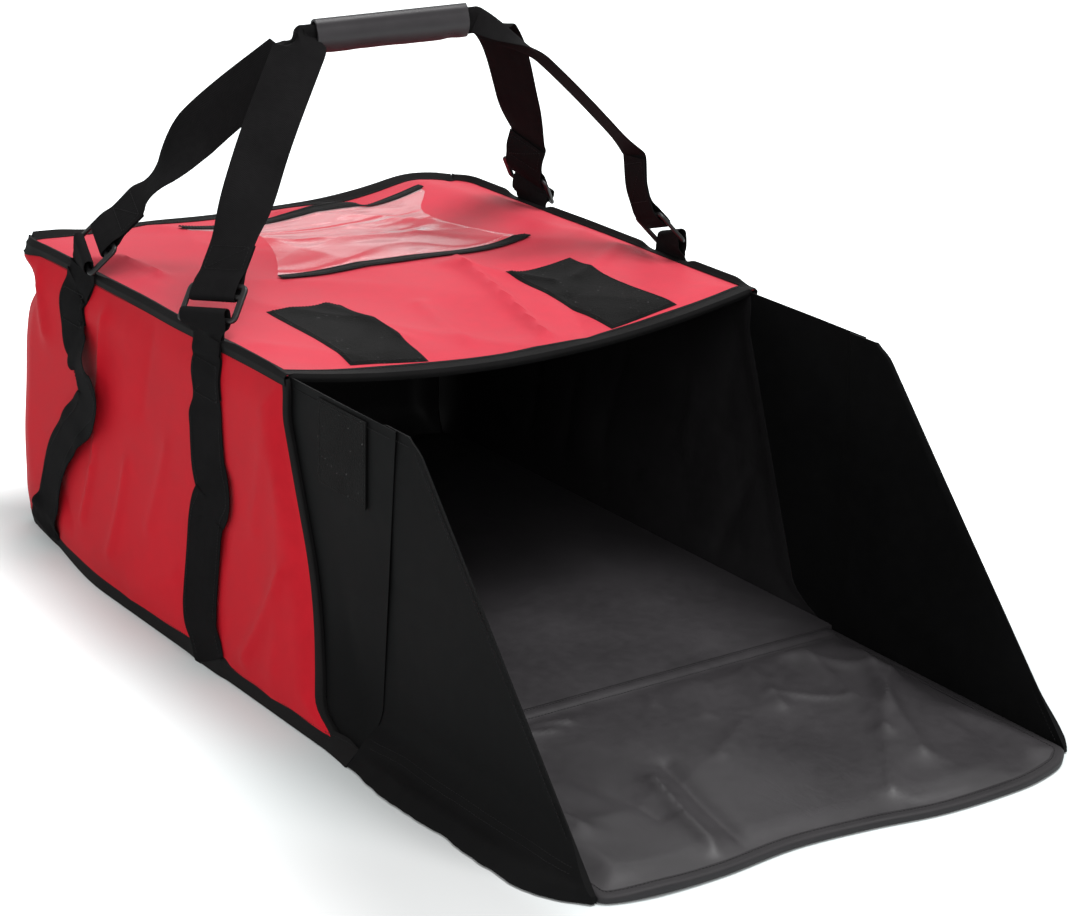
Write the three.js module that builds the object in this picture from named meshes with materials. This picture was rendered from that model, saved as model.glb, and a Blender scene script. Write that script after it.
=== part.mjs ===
// Soft insulated carrier for flat food boxes, in millimetres.
// +Z is up, -Y is the open front, X runs across the bag.
// The origin is the middle of the underside of the base.
import * as THREE from 'three';

// Overall size of the bag body
const bagWidth = 520;
const bagHeight = 305;
const baseLength = 695;       // from the front fold line to the rear edge
const sideSetback = 40;       // side panel's lower front corner, behind the fold line
const frontSlant = 110;       // top front edge, behind that corner
const rearLean = 25;          // top rear edge, ahead of the base's rear edge
const topSag = 25;            // how far the middle of the top's front edge hangs

// Layers of the walls, from the outside in
const coverCloth = 0.8;
const wallFoam = 3.6;
const linerCloth = 0.6;
const layerGap = 0.3;
const layGap = 0.5;           // under what lies on the curved top panel
const baseBoard = 3;

// Front flap and its side wings
const flapLength = 314;
const flapFoam = 2.6;
const foldClearance = 0.9;    // height of the fold line over the base lining
const wingCloth = 1.5;
const slideGap = 0.5;         // play between wing, side lining and flap
const wingHeight = 303;
const wingCrest = 48;         // level top of the wing, ahead of the fold line
const creaseAngle = 4;        // lean of the crease at the gusset's front edge
const wingTipStep = 2;        // wing tip behind the flap's front edge

// Tapes
const tape = 0.8;
const tapeReach = 13;         // how far a tape covers the panel beside its seam
const baseTapeHeight = 17;
const topTapeDrop = 12;
const hemReach = 11;

// Hook and loop patches
const patchThickness = 1.2;
const patchWidth = 80;
const patchLength = 165;
const topPatchInset = 122;     // patch centre from the side edge
const topPatchBack = 100;     // patch centre behind the top's front edge
const gussetPatchHeight = 78;
const gussetPatchBack = 22;   // patch front edge, behind the fold line
const gussetPatchDrop = 4;    // patch top under the gusset's top edge

// Clear ticket pocket on the top
const windowThickness = 0.4;
const windowLeft = -107;
const windowRight = 176;
const windowFront = 266;      // behind the top's front edge
const windowDepth = 204;
const windowRise = 9;
const windowHollow = 24;      // how far each open end curves in
const windowTapeWidth = 13;
const windowTapeEnd = 4;      // tape past each end of the clear sheet

// Webbing, side straps and their loops
const webbingWidth = 50;
const webbing = 1.4;
const frontStrapY = -62;
const rearStrapY = 182;
const rearStrapFootY = 289;
const strapFootRun = 20;      // straight run at the foot of a rear side strap
const strapDoubleFrom = 55;   // lower end of the doubled webbing, under the top edge
const loopSlack = 6;          // free lift of a buckle bar in its loop
const loopPlay = 1.8;         // room round the bar
const barHeight = 16;         // lower buckle bar above the top panel
const barOut = 4;             // and outside the side panel

// Slider buckles
const buckleThickness = 4;
const buckleBar = 5;
const buckleCheek = 6;
const buckleWindow = 19;
const buckleSlot = 6;
const buckleSidePlay = 2.2;
const buckleCorner = 3;
const windowCorner = 1.2;
const buckleBevel = 0.9;      // rounding of the frame's edges

// Carrying handle
const gripLength = 164;
const gripX = 3;
const gripY = 52;
const gripRise = 240;         // ridge of the inner strap in the grip, over the top panel
const gripWall = 1.8;
const gripPlay = 0.5;
const foldRadius = 1.1;       // webbing folded lengthwise in the grip
const gripLead = 5;           // straight webbing past each end of the grip
const strapTail = 40;         // sewn tail of the handle webbing past the buckle
const frontLeftTwist = 15;    // turn of that buckle towards the front, degrees

// Sizes that follow
const halfWidth = bagWidth / 2;
const halfBase = baseLength / 2;
const wallDepth = coverCloth + wallFoam + linerCloth + 2 * layerGap;
const linerFace = halfWidth - wallDepth;
const innerHalf = linerFace - layerGap;
const foldY = -halfBase;
const sideFrontY = foldY + sideSetback;
const topFrontY = sideFrontY + frontSlant;
const topRearY = halfBase - rearLean;
const wallFoot = coverCloth + layerGap;
const wallTop = bagHeight - wallDepth - layerGap;
const baseLinerTop = coverCloth + baseBoard + wallFoam + linerCloth + 3 * layerGap;
const foldZ = baseLinerTop + foldClearance;
const wingOuter = linerFace - slideGap;
const wingInner = wingOuter - wingCloth;
const gussetInner = linerFace + layerGap;
const gussetOuter = gussetInner + wingCloth;
const flapHalf = wingInner - slideGap;

// Material looks, one for each kind of cloth or plastic
const redCloth = new THREE.MeshStandardMaterial({ color: 0xb2252f, roughness: 0.75 });
const blackCloth = new THREE.MeshStandardMaterial({ color: 0x1c1c1e, roughness: 0.7 });
const liningCloth = new THREE.MeshStandardMaterial({ color: 0x2c2a2d, roughness: 0.45 });
const foamSheet = new THREE.MeshStandardMaterial({ color: 0xe4e2dc, roughness: 0.95 });
const boardSheet = new THREE.MeshStandardMaterial({ color: 0x3a3a3a, roughness: 0.8 });
const tapeCloth = new THREE.MeshStandardMaterial({ color: 0x141415, roughness: 0.8 });
const webbingCloth = new THREE.MeshStandardMaterial({ color: 0x18181a, roughness: 0.85 });
const bucklePlastic = new THREE.MeshStandardMaterial({ color: 0x1a1a1a, roughness: 0.35 });
const loopTape = new THREE.MeshStandardMaterial({ color: 0x101010, roughness: 1.0 });
const gripCloth = new THREE.MeshStandardMaterial({ color: 0x444246, roughness: 0.55 });
const clearSheet = new THREE.MeshStandardMaterial({
  color: 0xf2f4f5,
  roughness: 0.1,
  transparent: true,
  opacity: 0.35
});

const bag = new THREE.Group();

function addPart(name, geometry, material) {
  const mesh = new THREE.Mesh(geometry, material);
  mesh.name = name;
  bag.add(mesh);
  return mesh;
}

function mix(a, b, t) {
  return a + (b - a) * t;
}

function smoothStep(t) {
  const s = Math.min(1, Math.max(0, t));
  return s * s * (3 - 2 * s);
}

function evenSteps(count) {
  return Array.from({ length: count + 1 }, (_, i) => i / count);
}

// A closed body from points and triangles, turned so that its faces look outwards
function closedBody(points, triangles) {
  const volume = triangles.reduce((sum, [a, b, c]) => {
    const cross = new THREE.Vector3().crossVectors(points[b], points[c]);
    return sum + points[a].dot(cross);
  }, 0);
  const order = volume < 0 ? triangles.map(([a, b, c]) => [a, c, b]) : triangles;
  const geometry = new THREE.BufferGeometry();
  geometry.setAttribute('position', new THREE.Float32BufferAttribute(
    points.flatMap((point) => [point.x, point.y, point.z]), 3));
  geometry.setIndex(order.flat());
  geometry.computeVertexNormals();
  return geometry;
}

// A sheet of even depth: surface(u, v, depth) gives its points, near and far are depths
function sheet(surface, near, far, uList, vList) {
  const columns = uList.length;
  const rows = vList.length;
  const points = [];
  for (const depth of [near, far]) {
    for (const v of vList) {
      for (const u of uList) {
        points.push(surface(u, v, depth));
      }
    }
  }
  const at = (layer, row, column) => layer * columns * rows + row * columns + column;
  const triangles = [];
  const quad = (a, b, c, d) => triangles.push([a, b, c], [a, c, d]);
  for (let row = 0; row < rows - 1; row += 1) {
    for (let column = 0; column < columns - 1; column += 1) {
      quad(at(0, row, column), at(0, row, column + 1),
        at(0, row + 1, column + 1), at(0, row + 1, column));
      quad(at(1, row, column), at(1, row + 1, column),
        at(1, row + 1, column + 1), at(1, row, column + 1));
    }
    quad(at(0, row, 0), at(0, row + 1, 0), at(1, row + 1, 0), at(1, row, 0));
    quad(at(0, row + 1, columns - 1), at(0, row, columns - 1),
      at(1, row, columns - 1), at(1, row + 1, columns - 1));
  }
  for (let column = 0; column < columns - 1; column += 1) {
    quad(at(0, 0, column + 1), at(0, 0, column), at(1, 0, column), at(1, 0, column + 1));
    quad(at(0, rows - 1, column), at(0, rows - 1, column + 1),
      at(1, rows - 1, column + 1), at(1, rows - 1, column));
  }
  return closedBody(points, triangles);
}

// A profile carried from section to section; outline is its flat shape, for the end caps
function loft(sections, outline) {
  const count = outline.length;
  const points = sections.flat();
  const triangles = [];
  for (let ring = 0; ring < sections.length - 1; ring += 1) {
    for (let k = 0; k < count; k += 1) {
      const a = ring * count + k;
      const b = ring * count + (k + 1) % count;
      triangles.push([a, b, b + count], [a, b + count, a + count]);
    }
  }
  const flatShape = outline.map(([x, y]) => new THREE.Vector2(x, y));
  const turn = THREE.ShapeUtils.isClockWise(flatShape) ? -1 : 1;
  const cap = THREE.ShapeUtils.triangulateShape(flatShape, []);
  const last = (sections.length - 1) * count;
  for (const [a, b, c] of cap) {
    const [p, q] = turn > 0 ? [b, c] : [c, b];
    triangles.push([a, q, p], [a + last, p + last, q + last]);
  }
  return closedBody(points, triangles);
}

// A flat profile pushed along X, Y or Z: place(a, b, distance) turns it into a point
function pushed(outline, from, to, place) {
  const sections = [from, to].map((distance) => outline.map(([a, b]) => place(a, b, distance)));
  return loft(sections, outline);
}

function block(low, high) {
  const size = new THREE.Vector3().subVectors(high, low);
  const geometry = new THREE.BoxGeometry(size.x, size.y, size.z);
  geometry.translate((low.x + high.x) / 2, (low.y + high.y) / 2, (low.z + high.z) / 2);
  return geometry;
}

function point(x, y, z) {
  return new THREE.Vector3(x, y, z);
}

// Edges of the slanted walls at a height
function wallFrontY(z) {
  return sideFrontY + frontSlant * z / bagHeight;
}

function wallRearY(z) {
  return halfBase - rearLean * z / bagHeight;
}

// Height of the top panel's outer face: it hangs towards the middle of its front edge
function topZ(x, y) {
  const across = 1 - Math.min(1, Math.abs(x) / innerHalf) ** 2;
  const along = 1 - Math.min(1, Math.max(0, (y - topFrontY) / (topRearY - topFrontY)));
  return bagHeight - topSag * across * along ** 2;
}

const layers = [
  { name: 'cover', near: 0, far: coverCloth },
  { name: 'foam', near: coverCloth + layerGap, far: coverCloth + layerGap + wallFoam },
  { name: 'liner', near: wallDepth - linerCloth, far: wallDepth }
];
const layerLooks = { cover: redCloth, foam: foamSheet, liner: liningCloth };

// Side, rear and top walls, each a cover, a foam sheet and a lining
function sideWall(side) {
  return (u, v, depth) => {
    const z = mix(wallFoot, wallTop, v);
    return point(side * (halfWidth - depth), mix(wallFrontY(z), wallRearY(z), u), z);
  };
}

function rearWall(u, v, depth) {
  const z = mix(wallFoot, wallTop, v);
  return point(mix(-innerHalf, innerHalf, u), wallRearY(z) - depth, z);
}

function topWall(x, y, depth) {
  return point(x, y, topZ(x, y) - depth);
}

const topColumns = [-halfWidth, ...evenSteps(16).map((t) => mix(-innerHalf, innerHalf, t)), halfWidth];
const topRows = evenSteps(9).map((t) => mix(topFrontY, topRearY, t));

for (const { name, near, far } of layers) {
  const look = layerLooks[name];
  addPart(`left_side_${name}`, sheet(sideWall(-1), near, far, [0, 1], [0, 1]), look);
  addPart(`right_side_${name}`, sheet(sideWall(1), near, far, [0, 1], [0, 1]), look);
  addPart(`rear_${name}`, sheet(rearWall, near, far, [0, 1], [0, 1]), look);
  addPart(`top_${name}`, sheet(topWall, near, far, topColumns, topRows), look);
}

// Base: cover cloth, stiff board, foam and lining
function baseSheet(name, half, bottom, thickness, look) {
  const insideRear = wallRearY(baseLinerTop) - wallDepth - layerGap;
  const rear = half < halfWidth ? insideRear : halfBase;
  addPart(name, block(point(-half, foldY, bottom), point(half, rear, bottom + thickness)), look);
  return bottom + thickness + layerGap;
}

const boardZ = baseSheet('base_cover', halfWidth, 0, coverCloth, blackCloth);
const baseFoamZ = baseSheet('base_board', innerHalf, boardZ, baseBoard, boardSheet);
const baseLinerZ = baseSheet('base_foam', innerHalf, baseFoamZ, wallFoam, foamSheet);
baseSheet('base_liner', innerHalf, baseLinerZ, linerCloth, liningCloth);

// Front flap, lying flat ahead of the fold line; its hem tape wraps the three free edges
const flapRear = foldY - layerGap;
const flapFront = foldY - flapLength;
const hemWrap = tape + layerGap;
const flapPanelHalf = flapHalf - hemWrap;
const flapPanelFront = flapFront + hemWrap;

function flapSheet(name, bottom, thickness, look) {
  addPart(name, block(point(-flapPanelHalf, flapPanelFront, bottom),
    point(flapPanelHalf, flapRear, bottom + thickness)), look);
  return bottom + thickness + layerGap;
}

const flapFoamZ = flapSheet('flap_cover', hemWrap, coverCloth, blackCloth);
const flapLinerZ = flapSheet('flap_foam', flapFoamZ, flapFoam, foamSheet);
const hemTopZ = flapSheet('flap_liner', flapLinerZ, linerCloth, liningCloth);

// U-shaped tape, carried round the flap's left, front and right edges
function hemTape() {
  const profile = [
    [0, 0], [hemReach, 0], [hemReach, tape], [tape, tape],
    [tape, hemTopZ], [hemReach, hemTopZ], [hemReach, hemTopZ + tape], [0, hemTopZ + tape]
  ];
  const corners = [
    { x: -1, y: flapRear, dx: 1, dy: 0 },
    { x: -1, y: flapFront, dx: 1, dy: 1 },
    { x: 1, y: flapFront, dx: -1, dy: 1 },
    { x: 1, y: flapRear, dx: -1, dy: 0 }
  ];
  const sections = corners.map(({ x, y, dx, dy }) => profile.map(([inset, z]) => (
    point(x * flapHalf + dx * inset, y + dy * inset, z))));
  return loft(sections, profile);
}

addPart('flap_hem', hemTape(), tapeCloth);

// Gussets: the fixed, pressed part of each side wing, between side panel and crease
function gusset(side) {
  const creaseY = (z) => foldY - Math.tan(THREE.MathUtils.degToRad(creaseAngle)) * (z - foldZ);
  const foot = wallFoot;
  const outline = [
    [foldY, foot],
    [wallFrontY(foot) - layerGap, foot],
    [wallFrontY(wingHeight) - layerGap, wingHeight],
    [creaseY(wingHeight), wingHeight],
    [foldY, foldZ]
  ];
  return pushed(outline, gussetInner, gussetOuter, (y, z, depth) => point(side * depth, y, z));
}

// Wings: the front part of each side wing; it swings into the bag as the flap closes
function wing(side) {
  const foot = hemWrap;
  const tip = flapFront + wingTipStep;
  const outline = [
    [foldY - slideGap, foot],
    [tip, foot],
    [tip, hemTopZ],
    [foldY - wingCrest, wingHeight],
    [foldY, wingHeight],
    [foldY, foldZ + slideGap],
    [foldY - slideGap, foldZ]
  ];
  return pushed(outline, wingInner, wingOuter, (y, z, depth) => point(side * depth, y, z));
}

function gussetPatch(side) {
  const top = wingHeight - gussetPatchDrop;
  const front = foldY + gussetPatchBack;
  const near = gussetOuter + layerGap;
  const xs = [side * near, side * (near + patchThickness)];
  return block(
    point(Math.min(...xs), front, top - gussetPatchHeight),
    point(Math.max(...xs), front + gussetPatchHeight, top));
}

// Patches on the top, following its sag
function topPatch(side) {
  const width = [-0.5, -0.25, 0, 0.25, 0.5].map((t) => side * (halfWidth - topPatchInset) + t * patchWidth);
  const centreY = topFrontY + topPatchBack;
  const length = evenSteps(4).map((t) => centreY + (t - 0.5) * patchLength);
  const surface = (x, y, lift) => point(x, y, topZ(x, y) + lift);
  return sheet(surface, layGap, layGap + patchThickness, width, length);
}

for (const [side, name] of [[-1, 'left'], [1, 'right']]) {
  addPart(`${name}_gusset`, gusset(side), blackCloth);
  addPart(`${name}_wing`, wing(side), blackCloth);
  addPart(`${name}_gusset_patch`, gussetPatch(side), loopTape);
  addPart(`${name}_top_patch`, topPatch(side), loopTape);
}

// Seam tapes
const tapeNear = layerGap;
const tapeFar = layerGap + tape;

// L-shaped tape on the side panel's slanted front edge, closing it to the gusset
function sideFrontTape(side) {
  const web = gussetOuter + layerGap;
  const profile = [
    [web, -tapeFar], [halfWidth + tapeFar, -tapeFar], [halfWidth + tapeFar, tapeReach],
    [halfWidth + tapeNear, tapeReach], [halfWidth + tapeNear, -tapeNear], [web, -tapeNear]
  ];
  const heights = [baseTapeHeight + layerGap, bagHeight - topTapeDrop - layerGap];
  const sections = heights.map((z) => profile.map(([x, back]) => (
    point(side * x, wallFrontY(z) + back, z))));
  return loft(sections, profile);
}

// L-shaped tape round each rear corner
function rearCornerTape(side) {
  const profile = [
    [halfWidth + tapeNear, -tapeReach], [halfWidth + tapeFar, -tapeReach],
    [halfWidth + tapeFar, tapeFar], [halfWidth - tapeReach, tapeFar],
    [halfWidth - tapeReach, tapeNear], [halfWidth + tapeNear, tapeNear]
  ];
  const heights = [baseTapeHeight + layerGap, bagHeight - topTapeDrop - layerGap];
  const sections = heights.map((z) => profile.map(([x, back]) => (
    point(side * x, wallRearY(z) + back, z))));
  return loft(sections, profile);
}

// L-shaped tape along the top's left and right edges
function topSideTape(side) {
  const low = bagHeight - topTapeDrop;
  const profile = [
    [linerFace, bagHeight + tapeNear], [halfWidth + tapeNear, bagHeight + tapeNear],
    [halfWidth + tapeNear, low], [halfWidth + tapeFar, low],
    [halfWidth + tapeFar, bagHeight + tapeFar], [linerFace, bagHeight + tapeFar]
  ];
  return pushed(profile, topFrontY - tapeFar, topRearY + tapeFar, (x, z, y) => (
    point(side * x, y, z)));
}

// U-shaped tape round the top's hanging front edge
function topFrontTape() {
  const under = wallDepth + tapeNear;
  const profile = [
    [-tapeFar, tapeFar], [tapeReach, tapeFar], [tapeReach, tapeNear], [-tapeNear, tapeNear],
    [-tapeNear, -under], [tapeReach, -under], [tapeReach, -under - tape], [-tapeFar, -under - tape]
  ];
  const sections = evenSteps(12).map((t) => {
    const x = mix(-innerHalf, innerHalf, t);
    return profile.map(([back, up]) => {
      const y = topFrontY + back;
      return point(x, y, topZ(x, y) + up);
    });
  });
  return loft(sections, profile);
}

// L-shaped tape along the top's rear edge, its lower leg lying on the leaning rear panel
function topRearTape() {
  const low = bagHeight - topTapeDrop;
  const lowY = wallRearY(low);
  const profile = [
    [topRearY - tapeReach, bagHeight + tapeNear], [topRearY + tapeNear, bagHeight + tapeNear],
    [lowY + tapeNear, low], [lowY + tapeFar, low],
    [topRearY + tapeFar, bagHeight + tapeFar], [topRearY - tapeReach, bagHeight + tapeFar]
  ];
  return pushed(profile, -linerFace + layerGap, linerFace - layerGap, (y, z, x) => point(x, y, z));
}

function baseSideTape(side) {
  const xs = [side * (halfWidth + tapeNear), side * (halfWidth + tapeFar)];
  return block(
    point(Math.min(...xs), foldY, 0),
    point(Math.max(...xs), halfBase + tapeFar, baseTapeHeight));
}

function baseRearTape() {
  return block(
    point(-halfWidth, halfBase + tapeNear, 0),
    point(halfWidth, halfBase + tapeFar, baseTapeHeight));
}

for (const [side, name] of [[-1, 'left'], [1, 'right']]) {
  addPart(`${name}_front_tape`, sideFrontTape(side), tapeCloth);
  addPart(`${name}_rear_corner_tape`, rearCornerTape(side), redCloth);
  addPart(`${name}_top_tape`, topSideTape(side), tapeCloth);
  addPart(`${name}_base_tape`, baseSideTape(side), tapeCloth);
}
addPart('front_top_tape', topFrontTape(), tapeCloth);
addPart('rear_top_tape', topRearTape(), tapeCloth);
addPart('rear_base_tape', baseRearTape(), tapeCloth);

// Ticket pocket: a clear sheet bowed up between two sewn tapes, open at both ends
const windowY = topFrontY + windowFront;

function windowSurface(u, v, lift) {
  const margin = windowTapeWidth / windowDepth;
  const free = Math.min(1, Math.max(0, (v - margin) / (1 - 2 * margin)));
  const hollow = windowHollow * Math.sin(Math.PI * free);
  const x = mix(windowLeft + hollow, windowRight - hollow, u);
  const y = windowY + windowDepth * v;
  return point(x, y, topZ(x, y) + lift + windowRise * Math.sin(Math.PI * free));
}

function ticketWindow() {
  const margin = windowTapeWidth / windowDepth;
  const rows = [0, ...evenSteps(12).map((t) => mix(margin, 1 - margin, t)), 1];
  return sheet(windowSurface, layGap, layGap + windowThickness, evenSteps(8), rows);
}

addPart('ticket_window', ticketWindow(), clearSheet);

function windowTape(y) {
  const lift = 2 * layGap + windowThickness;
  const columns = evenSteps(6).map((t) => mix(windowLeft - windowTapeEnd, windowRight + windowTapeEnd, t));
  const surface = (x, v, up) => {
    const at = y + (v - 0.5) * windowTapeWidth;
    return point(x, at, topZ(x, at) + up);
  };
  return sheet(surface, lift, lift + tape, columns, [0, 1]);
}

addPart('ticket_front_tape', windowTape(windowY + 1), tapeCloth);
addPart('ticket_rear_tape', windowTape(windowY + windowDepth - 1), tapeCloth);

// Flat shape of a webbing section: [place across the width, side of the thickness]
function webbingOutline(across) {
  const there = across.map((a) => [a, 1]);
  const back = [...across].reverse().map((a) => [a, -1]);
  return [...there, ...back];
}

// One section of webbing folded lengthwise about its middle by an angle
function webbingSection(station, along, outline) {
  const across = station.width;
  const up = new THREE.Vector3().crossVectors(across, along).normalize();
  const bend = station.fold * station.radius / 2;
  return outline.map(([fraction, face]) => {
    const arc = fraction * webbingWidth / 2;
    const onBend = Math.sign(arc) * Math.min(Math.abs(arc), bend);
    const leg = arc - onBend;
    const angle = station.radius > 0 ? onBend / station.radius : 0;
    const half = face * webbing / 2;
    const side = station.radius * Math.sin(angle) + leg * Math.cos(angle) + half * Math.sin(angle);
    const drop = station.radius * (1 - Math.cos(angle)) + leg * Math.sin(angle);
    const rise = half * Math.cos(angle) - drop;
    return station.at.clone().addScaledVector(across, side).addScaledVector(up, rise);
  });
}

function webbingStrip(stations, across) {
  const outline = webbingOutline(across);
  const flatShape = outline.map(([a, face]) => [a * webbingWidth / 2, face * webbing / 2]);
  const last = stations.length - 1;
  const sections = stations.map((station, i) => {
    const before = stations[Math.max(0, i - 1)].at;
    const after = stations[Math.min(last, i + 1)].at;
    const along = new THREE.Vector3().subVectors(after, before).normalize();
    return webbingSection(station, along, outline);
  });
  return loft(sections, flatShape);
}

// Ends of the grip, and where each of the four buckles stands and leans
const gripZ = bagHeight + gripRise;
const barZ = bagHeight + barHeight;
const barX = halfWidth + barOut;
const buckles = [
  { name: 'front_left', side: -1, y: frontStrapY, twist: frontLeftTwist },
  { name: 'front_right', side: 1, y: frontStrapY, twist: 0 },
  { name: 'rear_left', side: -1, y: rearStrapY, twist: 0 },
  { name: 'rear_right', side: 1, y: rearStrapY, twist: 0 }
];
for (const buckle of buckles) {
  const gripEnd = point(gripX + buckle.side * gripLength / 2, gripY, gripZ);
  buckle.origin = point(buckle.side * barX, buckle.y, barZ);
  buckle.up = new THREE.Vector3().subVectors(gripEnd, buckle.origin).normalize();
  const forward = point(0, -1, 0);
  const squared = forward.addScaledVector(buckle.up, -forward.dot(buckle.up)).normalize();
  const twist = THREE.MathUtils.degToRad(buckle.twist * buckle.side * -1);
  buckle.bar = squared.applyAxisAngle(buckle.up, twist);
  buckle.out = new THREE.Vector3().crossVectors(buckle.bar, buckle.up).normalize();
  if (buckle.out.x * buckle.side < 0) {
    buckle.out.negate();
  }
}

// A point in a buckle's own axes: up along the strap, out from the bag
function onBuckle(buckle, up, out) {
  return buckle.origin.clone().addScaledVector(buckle.up, up).addScaledVector(buckle.out, out);
}

// Slider buckle: rounded frame with a wide window and a narrow slot
const windowLow = buckleBar / 2;
const windowHigh = windowLow + buckleWindow;
const middleBar = windowHigh + buckleBar / 2;
const slotLow = windowHigh + buckleBar;
const slotHigh = slotLow + buckleSlot;
const buckleTop = slotHigh + buckleBar;

function roundedRectangle(shape, halfX, low, high, corner) {
  shape.moveTo(-halfX + corner, low);
  shape.lineTo(halfX - corner, low);
  shape.absarc(halfX - corner, low + corner, corner, -Math.PI / 2, 0);
  shape.lineTo(halfX, high - corner);
  shape.absarc(halfX - corner, high - corner, corner, 0, Math.PI / 2);
  shape.lineTo(-halfX + corner, high);
  shape.absarc(-halfX + corner, high - corner, corner, Math.PI / 2, Math.PI);
  shape.lineTo(-halfX, low + corner);
  shape.absarc(-halfX + corner, low + corner, corner, Math.PI, Math.PI * 1.5);
  return shape;
}

function buckleFrame(buckle) {
  const inner = webbingWidth / 2 + buckleSidePlay;
  const bevel = buckleBevel;
  const shape = roundedRectangle(new THREE.Shape(), inner + buckleCheek - bevel,
    -buckleBar / 2 + bevel, buckleTop - bevel, buckleCorner);
  for (const [low, high] of [[windowLow, windowHigh], [slotLow, slotHigh]]) {
    const hole = new THREE.Path();
    shape.holes.push(roundedRectangle(hole, inner + bevel, low - bevel, high + bevel, windowCorner));
  }
  const geometry = new THREE.ExtrudeGeometry(shape, {
    depth: buckleThickness - 2 * bevel,
    bevelThickness: bevel,
    bevelSize: bevel,
    bevelSegments: 1,
    curveSegments: 3
  });
  geometry.translate(0, 0, bevel - buckleThickness / 2);
  const axes = new THREE.Matrix4().makeBasis(
    new THREE.Vector3().crossVectors(buckle.up, buckle.out), buckle.up, buckle.out);
  geometry.applyMatrix4(axes.setPosition(buckle.origin));
  return geometry;
}

for (const buckle of buckles) {
  addPart(`${buckle.name}_buckle`, buckleFrame(buckle), bucklePlastic);
}

// Side strap: single webbing up the side, doubled near the top, looped round the buckle bar
const strapFar = 3 * layerGap + 1.5 * webbing + tape + 0.1;
const strapNear = tapeFar + layerGap + webbing / 2;
const strapFlat = layerGap + webbing / 2;
const loopRadius = buckleThickness / 2 + loopPlay + webbing / 2;

// The rear straps run down in a shallow S to a foot further back
function strapY(buckle, z) {
  if (buckle.y < (frontStrapY + rearStrapY) / 2) {
    return buckle.y;
  }
  const t = 1 - (z - baseTapeHeight - strapFootRun) / (bagHeight / 2);
  return mix(buckle.y, rearStrapFootY, smoothStep(t));
}

function sideStrap(buckle) {
  const doubleZ = bagHeight - strapDoubleFrom;
  const kinkZ = bagHeight - topTapeDrop - 2;
  const aboveTape = bagHeight + 2.5;
  const strapOuter = strapFlat + webbing + layerGap;
  const level = point(0, -1, 0);
  const outward = new THREE.Vector3().crossVectors(buckle.bar, point(0, 0, 1)).normalize();
  outward.multiplyScalar(Math.sign(outward.x) * buckle.side);
  const onPanel = (out, z) => (
    point(buckle.side * (halfWidth + out), strapY(buckle, z), z));
  const rise = new THREE.Vector3().crossVectors(outward, buckle.bar);
  rise.multiplyScalar(Math.sign(rise.z));
  const onBar = (out, lift) => (
    buckle.origin.clone().addScaledVector(outward, out).addScaledVector(rise, lift));
  const flat = (out, z) => ({ at: onPanel(out, z), width: level, fold: 0, radius: 0 });
  const rising = (out, barSide, t) => ({
    at: onPanel(out, aboveTape).lerp(onBar(barSide, 0), t).addScaledVector(
      outward, (barSide + barOut - out) * (t - t * t)),
    width: level.clone().lerp(buckle.bar, t * (2 - t)).normalize(),
    fold: 0,
    radius: 0
  });
  const loop = evenSteps(8).map((t) => {
    const angle = Math.PI * (1 - t);
    return {
      at: onBar(loopRadius * Math.cos(angle), loopSlack + loopRadius * Math.sin(angle)),
      width: buckle.bar,
      fold: 0,
      radius: 0
    };
  });
  const stations = [
    flat(strapFlat, doubleZ), flat(strapFlat, kinkZ - 5),
    flat(strapNear, kinkZ), flat(strapNear, aboveTape),
    rising(strapNear, -loopRadius, 0.35), rising(strapNear, -loopRadius, 0.7),
    rising(strapNear, -loopRadius, 1),
    ...loop,
    rising(strapFar, loopRadius, 1),
    rising(strapFar, loopRadius, 0.7), rising(strapFar, loopRadius, 0.35),
    flat(strapFar, aboveTape), flat(strapFar, kinkZ),
    flat(strapOuter, kinkZ - 5), flat(strapOuter, doubleZ - 2),
    flat(strapFlat, doubleZ - 12),
    ...evenSteps(10).map((t) => (
      flat(strapFlat, mix(doubleZ - 20, baseTapeHeight + layerGap, t))))
  ];
  return webbingStrip(stations, [-1, 1]);
}

for (const buckle of buckles) {
  addPart(`${buckle.name}_side_strap`, sideStrap(buckle), webbingCloth);
}

// Handle strap: loops round the middle bar of a buckle at each end, folded in the grip
const handleFolds = [-1, -0.62, -0.34, -0.2, -0.09, 0, 0.09, 0.2, 0.34, 0.62, 1];
const eyeOut = buckleThickness / 2 + 0.9 + webbing / 2;
const eyeDown = buckleBar / 2 + 1.2 + webbing / 2;
const plyOffset = webbing / 2 + layerGap;

function strapEnd(buckle) {
  const tailTop = buckleTop + strapTail;
  const local = [
    [tailTop, -plyOffset],
    [buckleTop + 12, -plyOffset],
    [buckleTop + 1, -eyeOut],
    [middleBar, -eyeOut]
  ];
  for (const t of [0.17, 0.33, 0.5, 0.67, 0.83]) {
    const angle = Math.PI * t;
    local.push([middleBar - eyeDown * Math.sin(angle), -eyeOut * Math.cos(angle)]);
  }
  local.push([middleBar, eyeOut], [buckleTop + 1, eyeOut], [buckleTop + 12, plyOffset], [tailTop, plyOffset]);
  return local.map(([up, out]) => ({
    at: onBuckle(buckle, up, out),
    width: buckle.bar,
    fold: 0,
    radius: 0
  }));
}

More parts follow.
